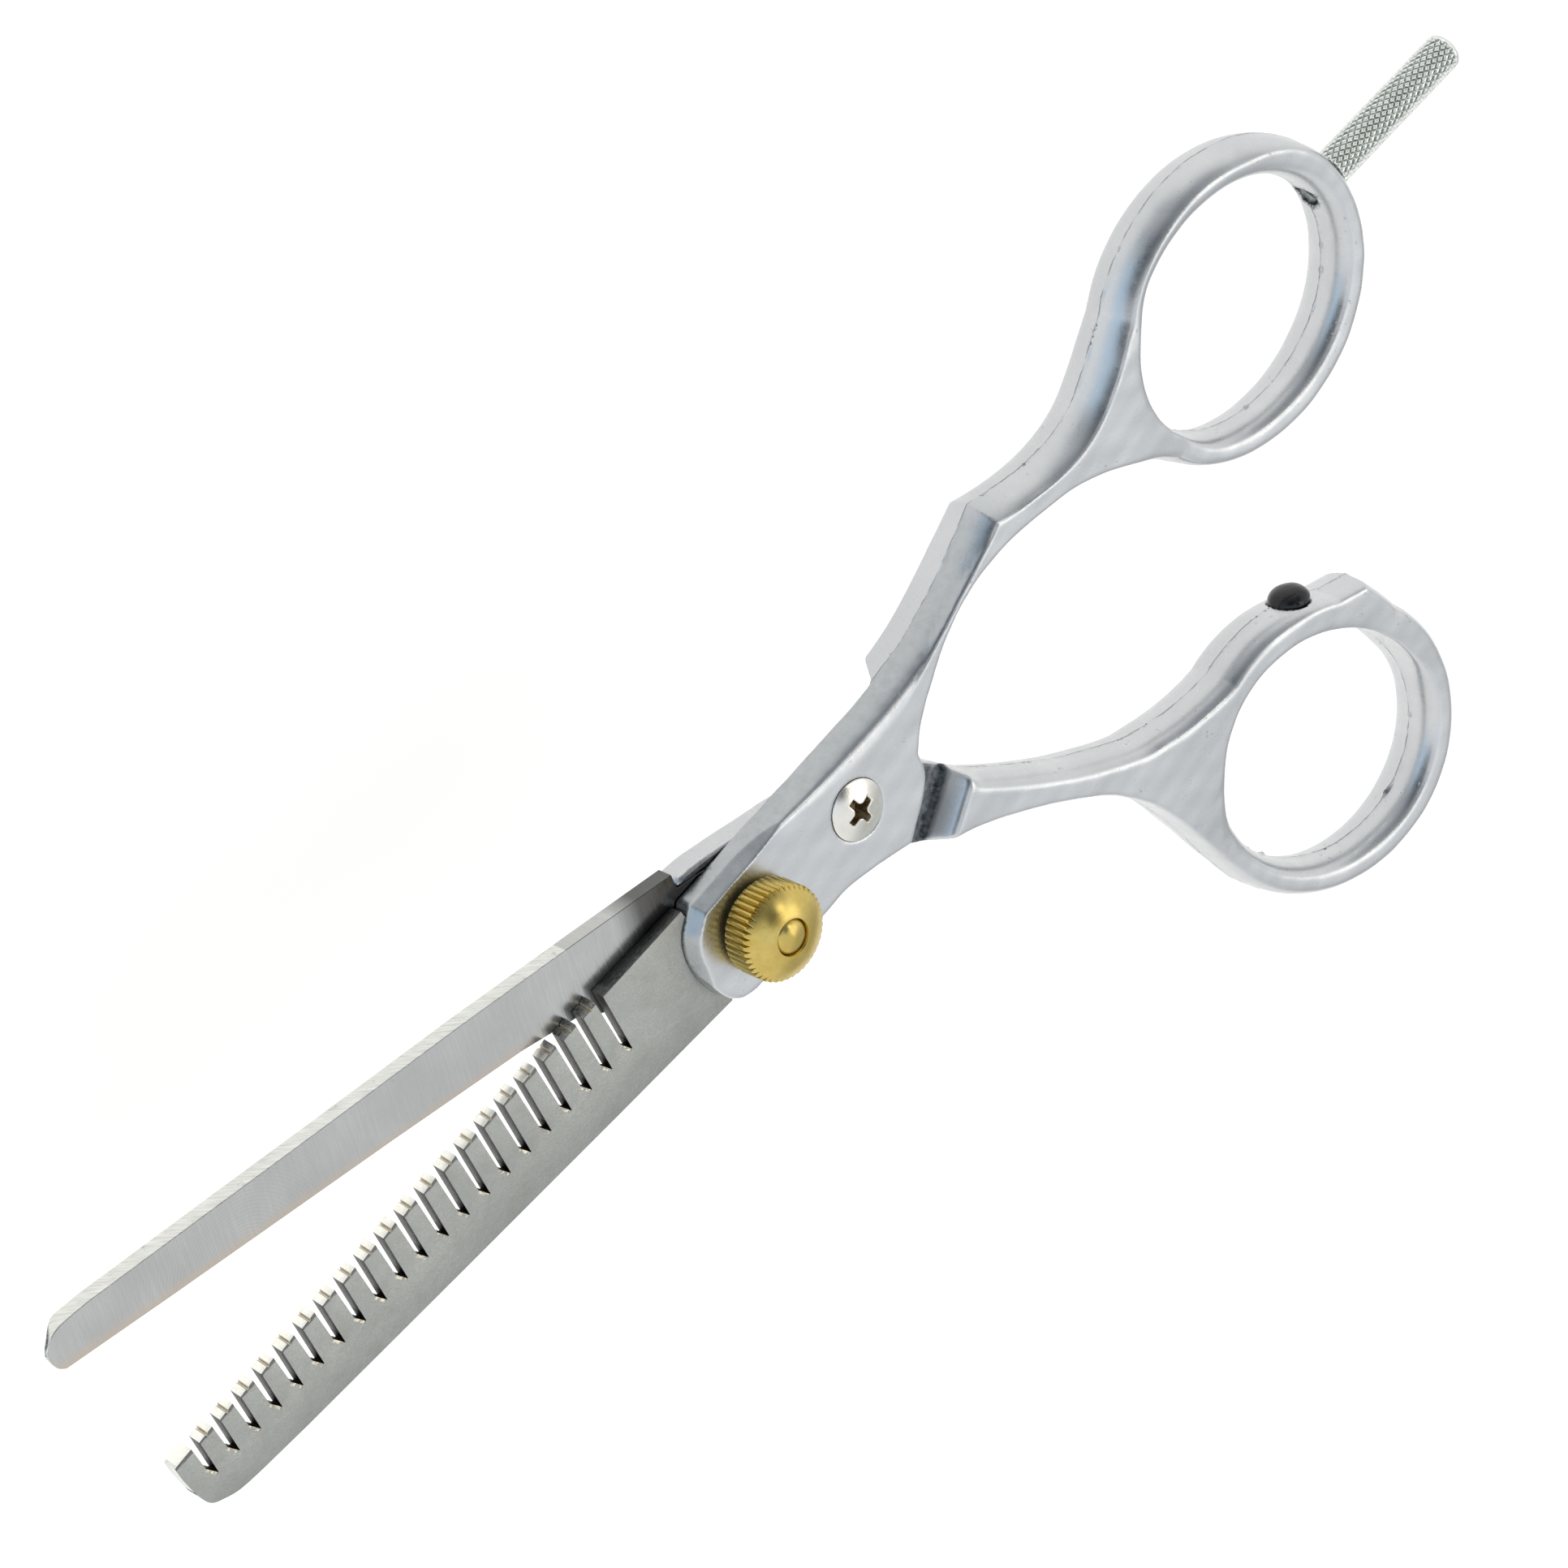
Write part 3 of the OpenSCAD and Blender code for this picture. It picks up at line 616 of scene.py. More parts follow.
def slant_tooth_ends(ob):
    """The tooth ends slant: the lower, riding face reaches further than the upper one."""
    reach = 0.26
    mesh = ob.data
    coords = read_vectors(mesh.vertices, "co")
    plane = rotate(coords[:, :2] * 1000, -TOOTHED_TURN)
    edge = np.array([tooth_edge(x) for x in plane[:, 0]])
    down = np.clip((TOOTHED_THICK + GAP - coords[:, 2] * 1000) / TOOTHED_THICK, 0, 1)
    ends = (plane[:, 0] > 14.0) & (plane[:, 1] < edge + 0.6)
    plane[:, 1] -= np.where(ends, reach * down, 0)
    coords[:, :2] = rotate(plane, TOOTHED_TURN) / 1000
    mesh.vertices.foreach_set("co", coords.ravel())
    mesh.update()


def by_x(points):
    return points[np.argsort(points[:, 0], kind="stable")]


def straight_section(x, spine_y, cut_y):
    """Nine points (y, z) round the blade at x."""
    riding_z, low_z = -GAP, -GAP - STRAIGHT_THICK
    width = max(cut_y - spine_y, 0.02)
    ground = float(smooth(17.0, 25.0, x))                # the ground bevel begins past the heel
    thin = float(smooth(STRAIGHT_LEN - 2.6, STRAIGHT_LEN - 0.1, x))    # thinner from below
    back_z = low_z + (STRAIGHT_THICK - 0.55) * thin
    bevel = min(2.7 * ground + 0.05, width * 0.62)
    land = 0.3 * ground
    ease = 0.06
    return [(spine_y + ease, riding_z),
            (cut_y - 0.02 * (1 - ground) - 0.02, riding_z),
            (cut_y, riding_z - 0.03 - 0.03 * (1 - ground)),
            (cut_y - 0.02 * ground, riding_z - land - 0.08),
            (cut_y - bevel, back_z + 0.02),
            (cut_y - bevel - min(0.2, width * 0.1), back_z),
            (spine_y + ease + 0.1 * thin, back_z),
            (spine_y + 0.4 * thin, back_z + ease),
            (spine_y, riding_z - ease)]


def straight_blade():
    """Lofted along x: flat riding face, square spine, bevel behind the edge, eased tip."""
    tip = curve(STRAIGHT_TIP, 12)
    split = len(tip) * 3 // 5
    spine = by_x(np.vstack([STRAIGHT_TANG, STRAIGHT_BODY, tip[:split + 1]]))
    cut = by_x(np.vstack([STRAIGHT_CUT[::-1], [STRAIGHT_TIP[-1]], tip[split:][::-1]]))
    xs = np.unique(np.round(np.concatenate([
        np.linspace(-18, 5.2, 40), [5.21, 5.4], np.linspace(5.5, 71, 180),
        np.linspace(71, 75.6, 40),
        STRAIGHT_LEN - 1.7 * (1 - np.sin(np.linspace(0, math.pi / 2, 40)))]), 4))
    xs = xs[xs <= STRAIGHT_LEN]
    sections = [straight_section(*station) for station in zip(
        xs, np.interp(xs, spine[:, 0], spine[:, 1]), np.interp(xs, cut[:, 0], cut[:, 1]))]
    n = len(sections[0])
    vertices = np.array([[x, *point] for x, section in zip(xs, sections) for point in section])
    faces = [[i * n + j, i * n + (j + 1) % n, (i + 1) * n + (j + 1) % n, (i + 1) * n + j]
             for i in range(len(xs) - 1) for j in range(n)]
    ob = make_mesh("straight_blade_ground", vertices, faces)
    with editing(ob.data) as bm:
        bm.verts.ensure_lookup_table()
        bm.faces.new([bm.verts[j] for j in range(n)])
        bm.faces.new([bm.verts[(len(xs) - 1) * n + j] for j in range(n - 1, -1, -1)])
        bmesh.ops.remove_doubles(bm, verts=list(bm.verts), dist=1e-8)
        bmesh.ops.recalc_face_normals(bm, faces=list(bm.faces))
    shade(ob, 25)
    return ob


toothed = toothed_blade()
slant_tooth_ends(toothed)
straight = straight_blade()


def classify(ob, rule, turn=0.0):
    """Material slot of each face, from its centre (mm) and normal in the blade's own frame."""
    centres = read_vectors(ob.data.polygons, "center") * 1000
    normals = read_vectors(ob.data.polygons, "normal")
    centres[:, :2] = rotate(centres[:, :2], -turn)
    normals[:, :2] = rotate(normals[:, :2], -turn)
    return rule(centres, normals).astype(np.int32)


def toothed_slots(centres, normals):
    """0 flat faces, 1 slot walls and heel, 2 tooth ends, 3 back and tip edges, 4 grooves."""
    x, y = centres[:, 0], centres[:, 1]
    side = np.abs(normals[:, 2]) < 0.45
    edge = np.array([tooth_edge(value) for value in x])
    teeth = (x > 14.5) & (x < 71.75)
    faces_down = normals[:, 1] < -0.3
    slots = np.zeros(len(centres), int)
    slots[side] = 3
    slots[side & teeth & (y < slot_top(x) + 0.3)] = 1
    slots[side & teeth & (y < edge + NOTCH + 0.1) & faces_down] = 2
    slots[(np.abs(normals[:, 2]) < 0.75) & teeth & (y < edge + NOTCH - 0.02) & faces_down
          & (np.abs(normals[:, 0]) > 0.45)] = 4
    slots[side & (x < 14.5)] = 1
    return slots


def straight_slots(centres, normals):
    """0 flat faces, 1 spine, 2 tip, 3 ground bevel."""
    slots = np.zeros(len(centres), int)
    slots[(np.abs(normals[:, 2]) < 0.5) & (normals[:, 1] < -0.4)] = 1
    slots[normals[:, 0] > 0.45] = 2
    slots[(normals[:, 1] > 0.3) & (centres[:, 0] > 18)] = 3
    return slots


# ------------------------------------------------------------------ turned parts
def lathe(profile, count, radius=None):
    """Profile (r, z) turned round +Z; radius(angles, r, z) may cut it back."""
    profile = np.asarray(profile, float)
    rows = len(profile)
    turns = np.linspace(0, 2 * math.pi, count, endpoint=False)
    r = np.repeat(profile[None, :, 0], count, 0)
    z = np.repeat(profile[None, :, 1], count, 0)
    angles = np.repeat(turns[:, None], rows, 1)
    if radius is not None:
        r = radius(angles, r, z)
    vertices = np.stack([r * np.cos(angles), r * np.sin(angles), z], -1).reshape(-1, 3)
    i, j = np.meshgrid(np.arange(count), np.arange(rows - 1), indexing="ij")
    after = (i + 1) % count
    faces = np.stack([i * rows + j, after * rows + j, after * rows + j + 1, i * rows + j + 1],
                     -1).reshape(-1, 4)
    return vertices, faces


def lathe_closed(profile, count, radius=None):
    """Lathe for a profile that closes on itself."""
    rows = len(profile) + 1
    vertices, faces = lathe([*profile, profile[0]], count, radius)
    remap = np.arange(len(vertices))
    remap[rows - 1::rows] = remap[0::rows][:count]
    faces = remap[faces]
    used = np.unique(faces)
    return vertices[used], np.searchsorted(used, faces)


def turned(name, vertices, faces, sharp):
    ob = make_mesh(name, vertices, faces)
    weld(ob)
    shade(ob, sharp)
    return ob


def lay_along(vertices, at, direction):
    """Point a turned part's axis along a bearing in the drawing, from `at` at mid-depth."""
    c, s = math.cos(direction), math.sin(direction)
    turn = np.array([[-s, 0, c], [c, 0, s], [0, 1, 0]])
    return solid_to_model(vertices @ turn.T + (at[0], at[1], 0))


def dome_z(r):
    t = np.clip((np.asarray(r, float) - STUD_R) / (NUT_R - 0.12 - STUD_R), 0, 1)
    return NUT_Z + NUT_RIM + NUT_DOME * (1 - 0.35 * t - 0.65 * t ** 2.2)


def nut_knurl(angles, r, z):
    phase = (angles * KNURLS / (2 * math.pi)) % 1.0
    crest = 1 - np.abs(phase * 2 - 1)                  # 0 in a groove, 1 on a crest
    groove = 0.30 + 0.16 * smooth(NUT_Z + NUT_RIM - 1.0, NUT_Z + NUT_RIM, z)
    return np.minimum(r, NUT_R - groove * (1 - np.clip(crest * 1.45, 0, 1) ** 0.8))


def tension_nut():
    """Straight knurl that runs out into the domed face."""
    bore_r, rim_z, top_z = STUD_R + 0.03, NUT_Z + NUT_RIM, float(dome_z(STUD_R))
    profile = [(bore_r, NUT_Z + 0.25), (bore_r + 0.25, NUT_Z), (NUT_R - 0.45, NUT_Z),
               (NUT_R - 0.12, NUT_Z + 0.12), (NUT_R, NUT_Z + 0.32)]
    profile += [(NUT_R, z) for z in np.linspace(NUT_Z + 0.5, rim_z - 0.22, 10)]
    profile += [(NUT_R - 0.02, rim_z - 0.1)]
    profile += [(r, float(dome_z(r))) for r in np.linspace(NUT_R - 0.12, STUD_R + 0.22, 34)]
    profile += [(bore_r + 0.06, top_z - 0.03), (bore_r, top_z - 0.16), (bore_r, NUT_Z + 2.0)]
    return turned("tension_nut_knurled", *lathe_closed(profile, KNURLS * 10, nut_knurl), 38)


def bore(ob, *, x, radius, hole_depth, face_z):
    """Cut a round blind hole into the face at face_z."""
    bm = bmesh.new()
    bmesh.ops.create_cone(bm, cap_ends=True, segments=40, radius1=radius * MM,
                          radius2=radius * MM, depth=2 * hole_depth * MM)
    bmesh.ops.translate(bm, verts=bm.verts, vec=(x * MM, 0, face_z * MM))
    cutter = object_from(bm, "cutter")
    modifier = ob.modifiers.new("bore", "BOOLEAN")
    modifier.operation = "DIFFERENCE"
    modifier.object = cutter
    modifier.solver = "EXACT"
    graph = bpy.context.evaluated_depsgraph_get()
    result = bpy.data.meshes.new_from_object(ob.evaluated_get(graph))
    ob.modifiers.clear()
    ob.data = result
    bpy.data.objects.remove(cutter)


def pivot_screw():
    """Head below with two blind holes, plain journal, stud with a domed end on top."""
    top, seat = NUT_Z + NUT_RIM + NUT_DOME, -HALF_THICK
    under = seat - PIVOT_HEAD_THICK
    profile = [(r, under) for r in (0, 1.0, 2.0, 3.0, 3.5)]
    profile += [(3.68, seat - 0.87), (3.82, seat - 0.78), (3.94, seat - 0.64),
                (4.0, seat - 0.5), (4.0, seat - 0.12), (3.9, seat - 0.02),
                (JOURNAL_R, seat - 0.02)]
    profile += [(JOURNAL_R, z) for z in np.linspace(seat + 0.2, HALF_THICK - 0.1, 8)]
    profile += [(JOURNAL_R - 0.1, HALF_THICK), (STUD_BODY_R, HALF_THICK)]
    profile += [(STUD_BODY_R, z) for z in np.linspace(HALF_THICK + 0.3, top - 0.56, 10)]
    profile += [(r, top - 0.50 + 0.67 * math.sqrt(max(0.0, 1 - (r / STUD_BODY_R) ** 2)))
                for r in STUD_BODY_R * np.sin(np.linspace(math.pi / 2, 0, 14))]
    ob = make_mesh("pivot_screw_turned", *lathe(profile, 160))
    weld(ob)
    for x in (-2.3, 2.3):
        bore(ob, x=x, radius=0.6, hole_depth=0.55, face_z=under)
    shade(ob, 35)
    return ob


def blade_screw(name, centre, yaw, below):
    """Raised countersunk screw with a cross recess; also gives each face's material slot."""
    grid = 0.06
    shank_r, sink, dome = 1.5, 1.5, 0.6
    head_r = shank_r + sink
    flat = np.arange(-3.3, 3.31, grid, dtype=np.float32)
    zs = np.arange(-3.3, 0.85, grid, dtype=np.float32)
    X, Y, Z = np.meshgrid(flat, flat, zs, indexing="ij")
    rho = np.sqrt(X * X + Y * Y)
    dome_r = (head_r ** 2 + dome ** 2) / (2 * dome)
    field = dome_r - np.sqrt(rho ** 2 + (Z - (dome - dome_r)) ** 2)
    field = smooth_min(field, head_r - rho, 0.12)
    field = smooth_min(field, (Z + sink + shank_r - rho) * 0.7071, 0.06)
    shank = np.minimum(shank_r - rho, Z + 3.07)
    field = np.maximum(field, np.minimum(shank, -Z - 0.8))
    # cross recess: four tapering wings meeting in a deeper centre
    c, s = math.cos(yaw), math.sin(yaw)
    along, across = np.abs(X * c + Y * s), np.abs(-X * s + Y * c)
    down = np.clip((dome - Z) / 1.5, 0, 1)
    half, reach = 0.36 - 0.12 * down, 1.62 - 1.15 * down
    wings = smooth_min(np.maximum(across - half, along - reach),
                       np.maximum(along - half, across - reach), 0.12)
    core = (along + across) * 0.7071 - (0.74 - 0.35 * down)
    recess = np.maximum(smooth_min(wings, core, 0.12), -(Z + 0.95))
    field = smooth_min(field, recess, 0.08)
    vertices, faces = surface_net(field.astype(np.float32), (flat[0], flat[0], zs[0]), grid)
    x, y, z = vertices.T
    top = dome - (dome_r - np.sqrt(np.maximum(dome_r ** 2 - x ** 2 - y ** 2, 0)))
    deep = (np.hypot(x, y) < 1.75) & (z < top - 0.10)
    if below:
        vertices = vertices * np.array([1, -1, -1])
    vertices = vertices + np.array([*centre, -HALF_THICK if below else HALF_THICK])
    ob = make_mesh(name, vertices, faces)
    shade(ob)
    return ob, deep[faces].all(1).astype(np.int32)


def finger_rest():
    """Diamond knurl between a turned neck and a rounded end, with a thread at the root."""
    starts, helix, groove = 18, math.tan(math.radians(31)), 0.20
    end_r = 0.9
    end = 1.4 + REST_LEN - end_r
    profile = [(0, -2.4), (0.9, -2.4), (1.12, -2.3)]
    for turn in range(5):
        z = -2.2 + 0.44 * turn
        profile += [(1.22, z), (1.05, z + 0.22)]
    profile += [(1.2, 0.1), (1.2, 0.2), (REST_R - 0.3, 0.2), (REST_R - 0.08, 0.30)]
    profile += [(REST_R, z) for z in np.linspace(0.42, 1.4 + REST_LEN - 0.95, 260)]
    profile += [(REST_R - end_r + end_r * math.cos(t), end + end_r * math.sin(t))
                for t in np.linspace(0.08, math.pi / 2, 14)]
    profile += [(0.0, end + end_r)]

    def knurl(angles, r, z):
        around = angles * starts / (2 * math.pi)
        twist = z * helix * starts / (2 * math.pi * REST_R)
        right = 1 - np.abs(((around + twist) % 1.0) * 2 - 1)
        left = 1 - np.abs(((around - twist) % 1.0) * 2 - 1)
        cut = np.maximum(1 - right * 1.7, 1 - left * 1.7)
        ends = smooth(0.3, 0.5, z) * (1 - smooth(end - 0.05, end + 0.35, z))
        return r - groove * np.clip(cut, 0, 1) * ends

    vertices, faces = lathe(profile, starts * 16, knurl)
    return turned("finger_rest_knurled", lay_along(vertices, REST_AT, REST_DIR), faces, 50)


def rubber_bumper():
    """Soft, slightly uneven dome with a lip and a plug."""
    profile = [(0.0, -1.8), (0.98, -1.8), (0.98, 0.25), (1.75, 0.2), (2.0, 0.3), (2.1, 0.5)]
    profile += [(2.1 * math.cos(t) ** 0.85, 0.55 + 1.28 * math.sin(t))
                for t in np.linspace(0.06, math.pi / 2 - 0.001, 22)]
    profile += [(0.0, 1.83)]

    def lumps(angles, r, z):
        return r * (1 + 0.02 * np.sin(2 * angles + 0.6) * (z > 0.3)
                    + 0.012 * np.sin(5 * angles + z * 2) * (z > 0.3))

    vertices, faces = lathe(profile, 96, lumps)
    return turned("bumper_dome", lay_along(vertices, BUMPER_AT, BUMPER_DIR), faces, 60)


def spring_washer():
    """Thin ring with three shallow waves."""
    edge, inner_r = WASHER_R - 0.08, 1.85
    profile = [(inner_r, 0.03), (edge, 0.03), (WASHER_R, 0.08), (WASHER_R, 0.2),
               (edge, 0.25), (inner_r, 0.25)]
    vertices, faces = lathe_closed([(r, HALF_THICK + z) for r, z in profile], 144)
    angles = np.arctan2(vertices[:, 1], vertices[:, 0])
    vertices[:, 2] += 0.075 * (1 + np.cos(3 * angles))
    return turned("spring_washer_wave", vertices, faces, 40)


nut = tension_nut()
pivot = pivot_screw()
screw_above, above_slots = blade_screw(
    "front_blade_screw_head", TOOTHED_SCREW_MODEL, math.radians(28), below=False)
screw_below, below_slots = blade_screw(
    "back_blade_screw_head", STRAIGHT_SCREW, math.radians(50), below=True)
rest = finger_rest()
bumper = rubber_bumper()
washer = spring_washer()


# ------------------------------------------------------------------ node building
class Value:
    """A node's output; arithmetic on it adds math nodes."""

    def __init__(self, tree, socket):
        self.tree, self.socket = tree, socket

    def __add__(self, other):
        return self.tree.math("ADD", self, other)

    def __sub__(self, other):
        return self.tree.math("SUBTRACT", self, other)

    def __mul__(self, other):
        return self.tree.math("MULTIPLY", self, other)

    def __truediv__(self, other):
        return self.tree.math("DIVIDE", self, other)

    def __abs__(self):
        return self.tree.math("ABSOLUTE", self)

    def remap(self, span, to=(0, 1), **settings):
        inputs = {0: self, 1: span[0], 2: span[1], 3: to[0], 4: to[1]}
        return self.tree.value("MapRange", inputs, **settings)


def opaque(colour):
    return colour if isinstance(colour, Value) else (*colour, 1)


class Tree:
    """An empty node tree; node kinds are given without their "ShaderNode"."""

    def __init__(self, owner):
        owner.use_nodes = True
        self.nodes, self.links = owner.node_tree.nodes, owner.node_tree.links
        self.nodes.clear()

    def plug(self, socket, value):
        if isinstance(value, Value):
            self.links.new(value.socket, socket)
        else:
            socket.default_value = value

    def node(self, kind, inputs=None, **settings):
        node = self.nodes.new("ShaderNode" + kind)
        for key, setting in settings.items():
            setattr(node, key, setting)
        for key, value in (inputs or {}).items():
            self.plug(node.inputs[key], value)
        return node

    def value(self, kind, inputs=None, output=0, **settings):
        return Value(self, self.node(kind, inputs, **settings).outputs[output])

    def math(self, operation, a, b=0.0):
        return self.value("Math", {0: a, 1: b}, operation=operation)

    def vector(self, operation, a, b, output=0):
        return self.value("VectorMath", {0: a, 1: b}, output, operation=operation)

    def mix(self, factor, first, second):
        inputs = {0: factor, 6: opaque(first), 7: opaque(second)}
        return self.value("Mix", inputs, 2, data_type="RGBA")


FALL = (1, 0)        # remap downwards


class Material(Tree):
    """A principled material; `mm` is the object position in millimetres."""

    def __init__(self, name):
        self.material = bpy.data.materials.new(name)
        super().__init__(self.material)
        self.output = self.node("OutputMaterial")
        self.principled = self.node("BsdfPrincipled")
        self.links.new(self.principled.outputs[0], self.output.inputs[0])
        place = self.value("TexCoord", output="Object")
        self.mm = self.vector("MULTIPLY", place, (1000, 1000, 1000))

    def noise(self, scale, detail=3, rough=0.5, at=None, stretch=None, distortion=0.0):
        place = at or self.mm
        if stretch:
            place = self.vector("MULTIPLY", place, stretch)
        return self.value("TexNoise", {"Vector": place, "Scale": scale, "Detail": detail,
                                       "Roughness": rough, "Distortion": distortion})

    def xyz(self, vector):
        return [Value(self, socket)
                for socket in self.node("SeparateXYZ", {0: vector}).outputs]

    def plane(self, x, y):
        return self.value("CombineXYZ", {0: x, 1: y})

    def ramp(self, by, first, second, span=(0.35, 0.65)):
        """First colour below the span of `by`, second above it."""
        return self.mix(by.remap(span), first, second)

    def tint(self, base, colour, by, span, amount):
        """Up to `amount` of the colour over the base as `by` crosses the span."""
        return self.mix(by.remap(span, (0, amount)), base, colour)

    def bump(self, height, depth_mm, strength, normal=None):
        inputs = {"Strength": strength, "Distance": depth_mm * MM, "Height": height}
        if normal is not None:
            inputs["Normal"] = normal
        return self.value("Bump", inputs)

    def finish(self, colour, *, metallic, roughness, **others):
        """Other inputs are named with _ for a space."""
        inputs = {"Base Color": opaque(colour), "Metallic": metallic, "Roughness": roughness}
        inputs |= {key.replace("_", " "): value for key, value in others.items()}
        for key, value in inputs.items():
            self.plug(self.principled.inputs[key], value)
        return self.material


# ------------------------------------------------------------------ cast alloy
def shaded_hole_mouth(mat, colour, at, speck):
    """Painted shade, with a ragged edge, round the mouth of the rest's hole inside the ring."""
    inwards = np.array([math.cos(REST_DIR), math.sin(REST_DIR)])
    x, y = to_model(REST_AT - 3.15 * inwards)
    away = mat.vector("DISTANCE", mat.mm, (float(x), float(y), MATING_Z + 0.1), "Value")
    ragged = away + mat.noise(1.3, 3, 0.7, at=at) * 1.6
    # painted shade round the hole's mouth, nearly black with lighter specks
    mouth_shade_mask = ragged.remap((2.0, 2.5), to=(0.93, 0))
    painted_shade_colour = mat.ramp(speck, (0.02, 0.024, 0.028), (0.13, 0.15, 0.17), span=(0.42, 0.6))
    return mat.mix(mouth_shade_mask, colour, painted_shade_colour)


def painted_step_shadow(mat, colour, at, x, y, z):
    """Painted shadow down in the thumb half's step, in streaks."""
    start, end = to_model(np.array(THUMB_STEP, float))
    along = (end - start) / np.linalg.norm(end - start)
    offset = float(start[0] * along[1] - start[1] * along[0])
    away = x * float(-along[1]) + y * float(along[0]) + offset
    # painted shadow on the thumb half above the mating plane, next to the step's wall
    step_shadow_mask = away.remap((0.40, 0.70), to=FALL) * away.remap((-1.2, -1.0))
    step_shadow_mask = step_shadow_mask * z.remap((MATING_Z - 0.02, MATING_Z + 0.02))
    streak = mat.noise(1.6, 4, 0.7, at=at, stretch=(1, 1, 0.6))
    dark = mat.ramp(streak, (0.035, 0.042, 0.05), (0.20, 0.22, 0.235), span=(0.35, 0.7))
    return mat.mix(step_shadow_mask, colour, dark)


def shaded_side_wall(mat, colour, mid, position, normal):
    """The finger plate's left wall in the drawing gets painted shade, darker than the rest."""
    x, y, z = position
    left_x, left_y = to_model(np.array([-1.0, 0.0])) - to_model(np.array([0.0, 0.0]))
    facing = normal[0] * float(left_x) + normal[1] * float(left_y)
    up_drawing = x * -math.sin(DRAWING_TURN) + y * math.cos(DRAWING_TURN)
    # painted shade on the wall facing left in the drawing, above the mating plane and below the
    # ring's bar
    wall = facing.remap((0.20, 0.45)) * abs(normal[2]).remap((0.55, 0.75), to=FALL)
    wall = wall * (z.remap((MATING_Z, MATING_Z + 0.15)) * up_drawing.remap((40, 44), to=FALL))
    return mat.mix(wall, colour, mat.ramp(mid, (0.40, 0.418, 0.43), (0.46, 0.478, 0.49)))


def cast_alloy(name, *, seed, pitting, finger_half):
    mat = Material(name)
    at = mat.vector("ADD", mat.mm, (seed, seed * 2, seed * 3))
    broad = mat.noise(0.12, at=at)
    mid = mat.noise(0.9, 4, 0.6, at=at)
    fine = mat.noise(5.0, 3, 0.65, at=at)
    speck = mat.noise(2.0, 2, 0.6, at=at)
    patch = mat.noise(0.22, 3, 0.55, at=at)
    x, y, z = mat.xyz(mat.mm)
    world_normal = mat.value("NewGeometry", output="Normal")
    normal = mat.xyz(mat.value("VectorTransform", {0: world_normal}, vector_type="NORMAL",
                               convert_from="WORLD", convert_to="OBJECT"))
    colour = mat.ramp(broad, (0.565, 0.576, 0.586), (0.612, 0.62, 0.628))
    colour = mat.tint(colour, (0.55, 0.57, 0.60), by=mid, span=(0.3, 0.75), amount=0.30)
    # casting pits, in patches
    pit = speck.remap((0.665, 0.72)) * patch.remap((0.50, 0.62))
    colour = mat.mix(pit * pitting, colour, (0.20, 0.21, 0.22))
    # parting line at mid-depth, wavy and broken up, with pits along it
    wobble = (mid - 0.5) * 0.35
    off_line = abs(z - MATING_Z + wobble)
    wall = abs(normal[2]).remap((0.45, 0.75), to=FALL)
    line = off_line.remap((0.03, 0.11), to=FALL) * wall
    line = line * mat.noise(0.5, 3, 0.6, at=at).remap((0.38, 0.55), to=(0.15, 0.9))
    line_pits = off_line.remap((0.12, 0.30), to=FALL) * wall * speck.remap((0.60, 0.66))
    dark = mat.math("MAXIMUM", line, line_pits * patch.remap((0.45, 0.55)))
    colour = mat.mix(dark * 0.75, colour, (0.16, 0.17, 0.18))
    if finger_half:
        colour = shaded_hole_mouth(mat, colour, at, speck)
    else:
        colour = painted_step_shadow(mat, colour, at, x, y, z)
    # painted shade on the two halves' rubbing faces, down in the gap between the parts
    lap = abs(normal[2]).remap((0.75, 0.88)) \
        * abs(z - MATING_Z).remap((0.10, 0.15), to=(0.9, 0))
    lap_shade_colour = mat.ramp(mid, (0.085, 0.088, 0.092), (0.20, 0.205, 0.21))
    colour = mat.mix(lap, colour, lap_shade_colour)
    if finger_half:
        colour = shaded_side_wall(mat, colour, mid, (x, y, z), normal)
    rough = mid.remap((0.3, 0.7), to=(0.25, 0.33)) + fine.remap((0.3, 0.7), to=(-0.02, 0.05))
    rough = rough + dark * 0.2
    bumps = mat.bump(fine * 0.30 + mid * 0.8, depth_mm=0.03, strength=0.5)
    bumps = mat.bump((pit + dark) * -1.0, depth_mm=0.06, strength=0.5, normal=bumps)
    return mat.finish(colour, metallic=1.0, roughness=rough, Normal=bumps)


# ------------------------------------------------------------------ blade steels
def along_toothed(x, y):
    return x * math.cos(TOOTHED_TURN) + y * math.sin(TOOTHED_TURN)


def across_toothed(x, y):
    return x * -math.sin(TOOTHED_TURN) + y * math.cos(TOOTHED_TURN)


def above_slot_top(along, across):
    return across - (along * SLOT_TOP_SLOPE + (SLOT_TOP_Y - SLOT_TOP_SLOPE * SLOT_TOP_X))


def stained(mat, colour, spot):
    return mat.tint(colour, (0.30, 0.30, 0.29), by=spot, span=(0.64, 0.78), amount=0.35)


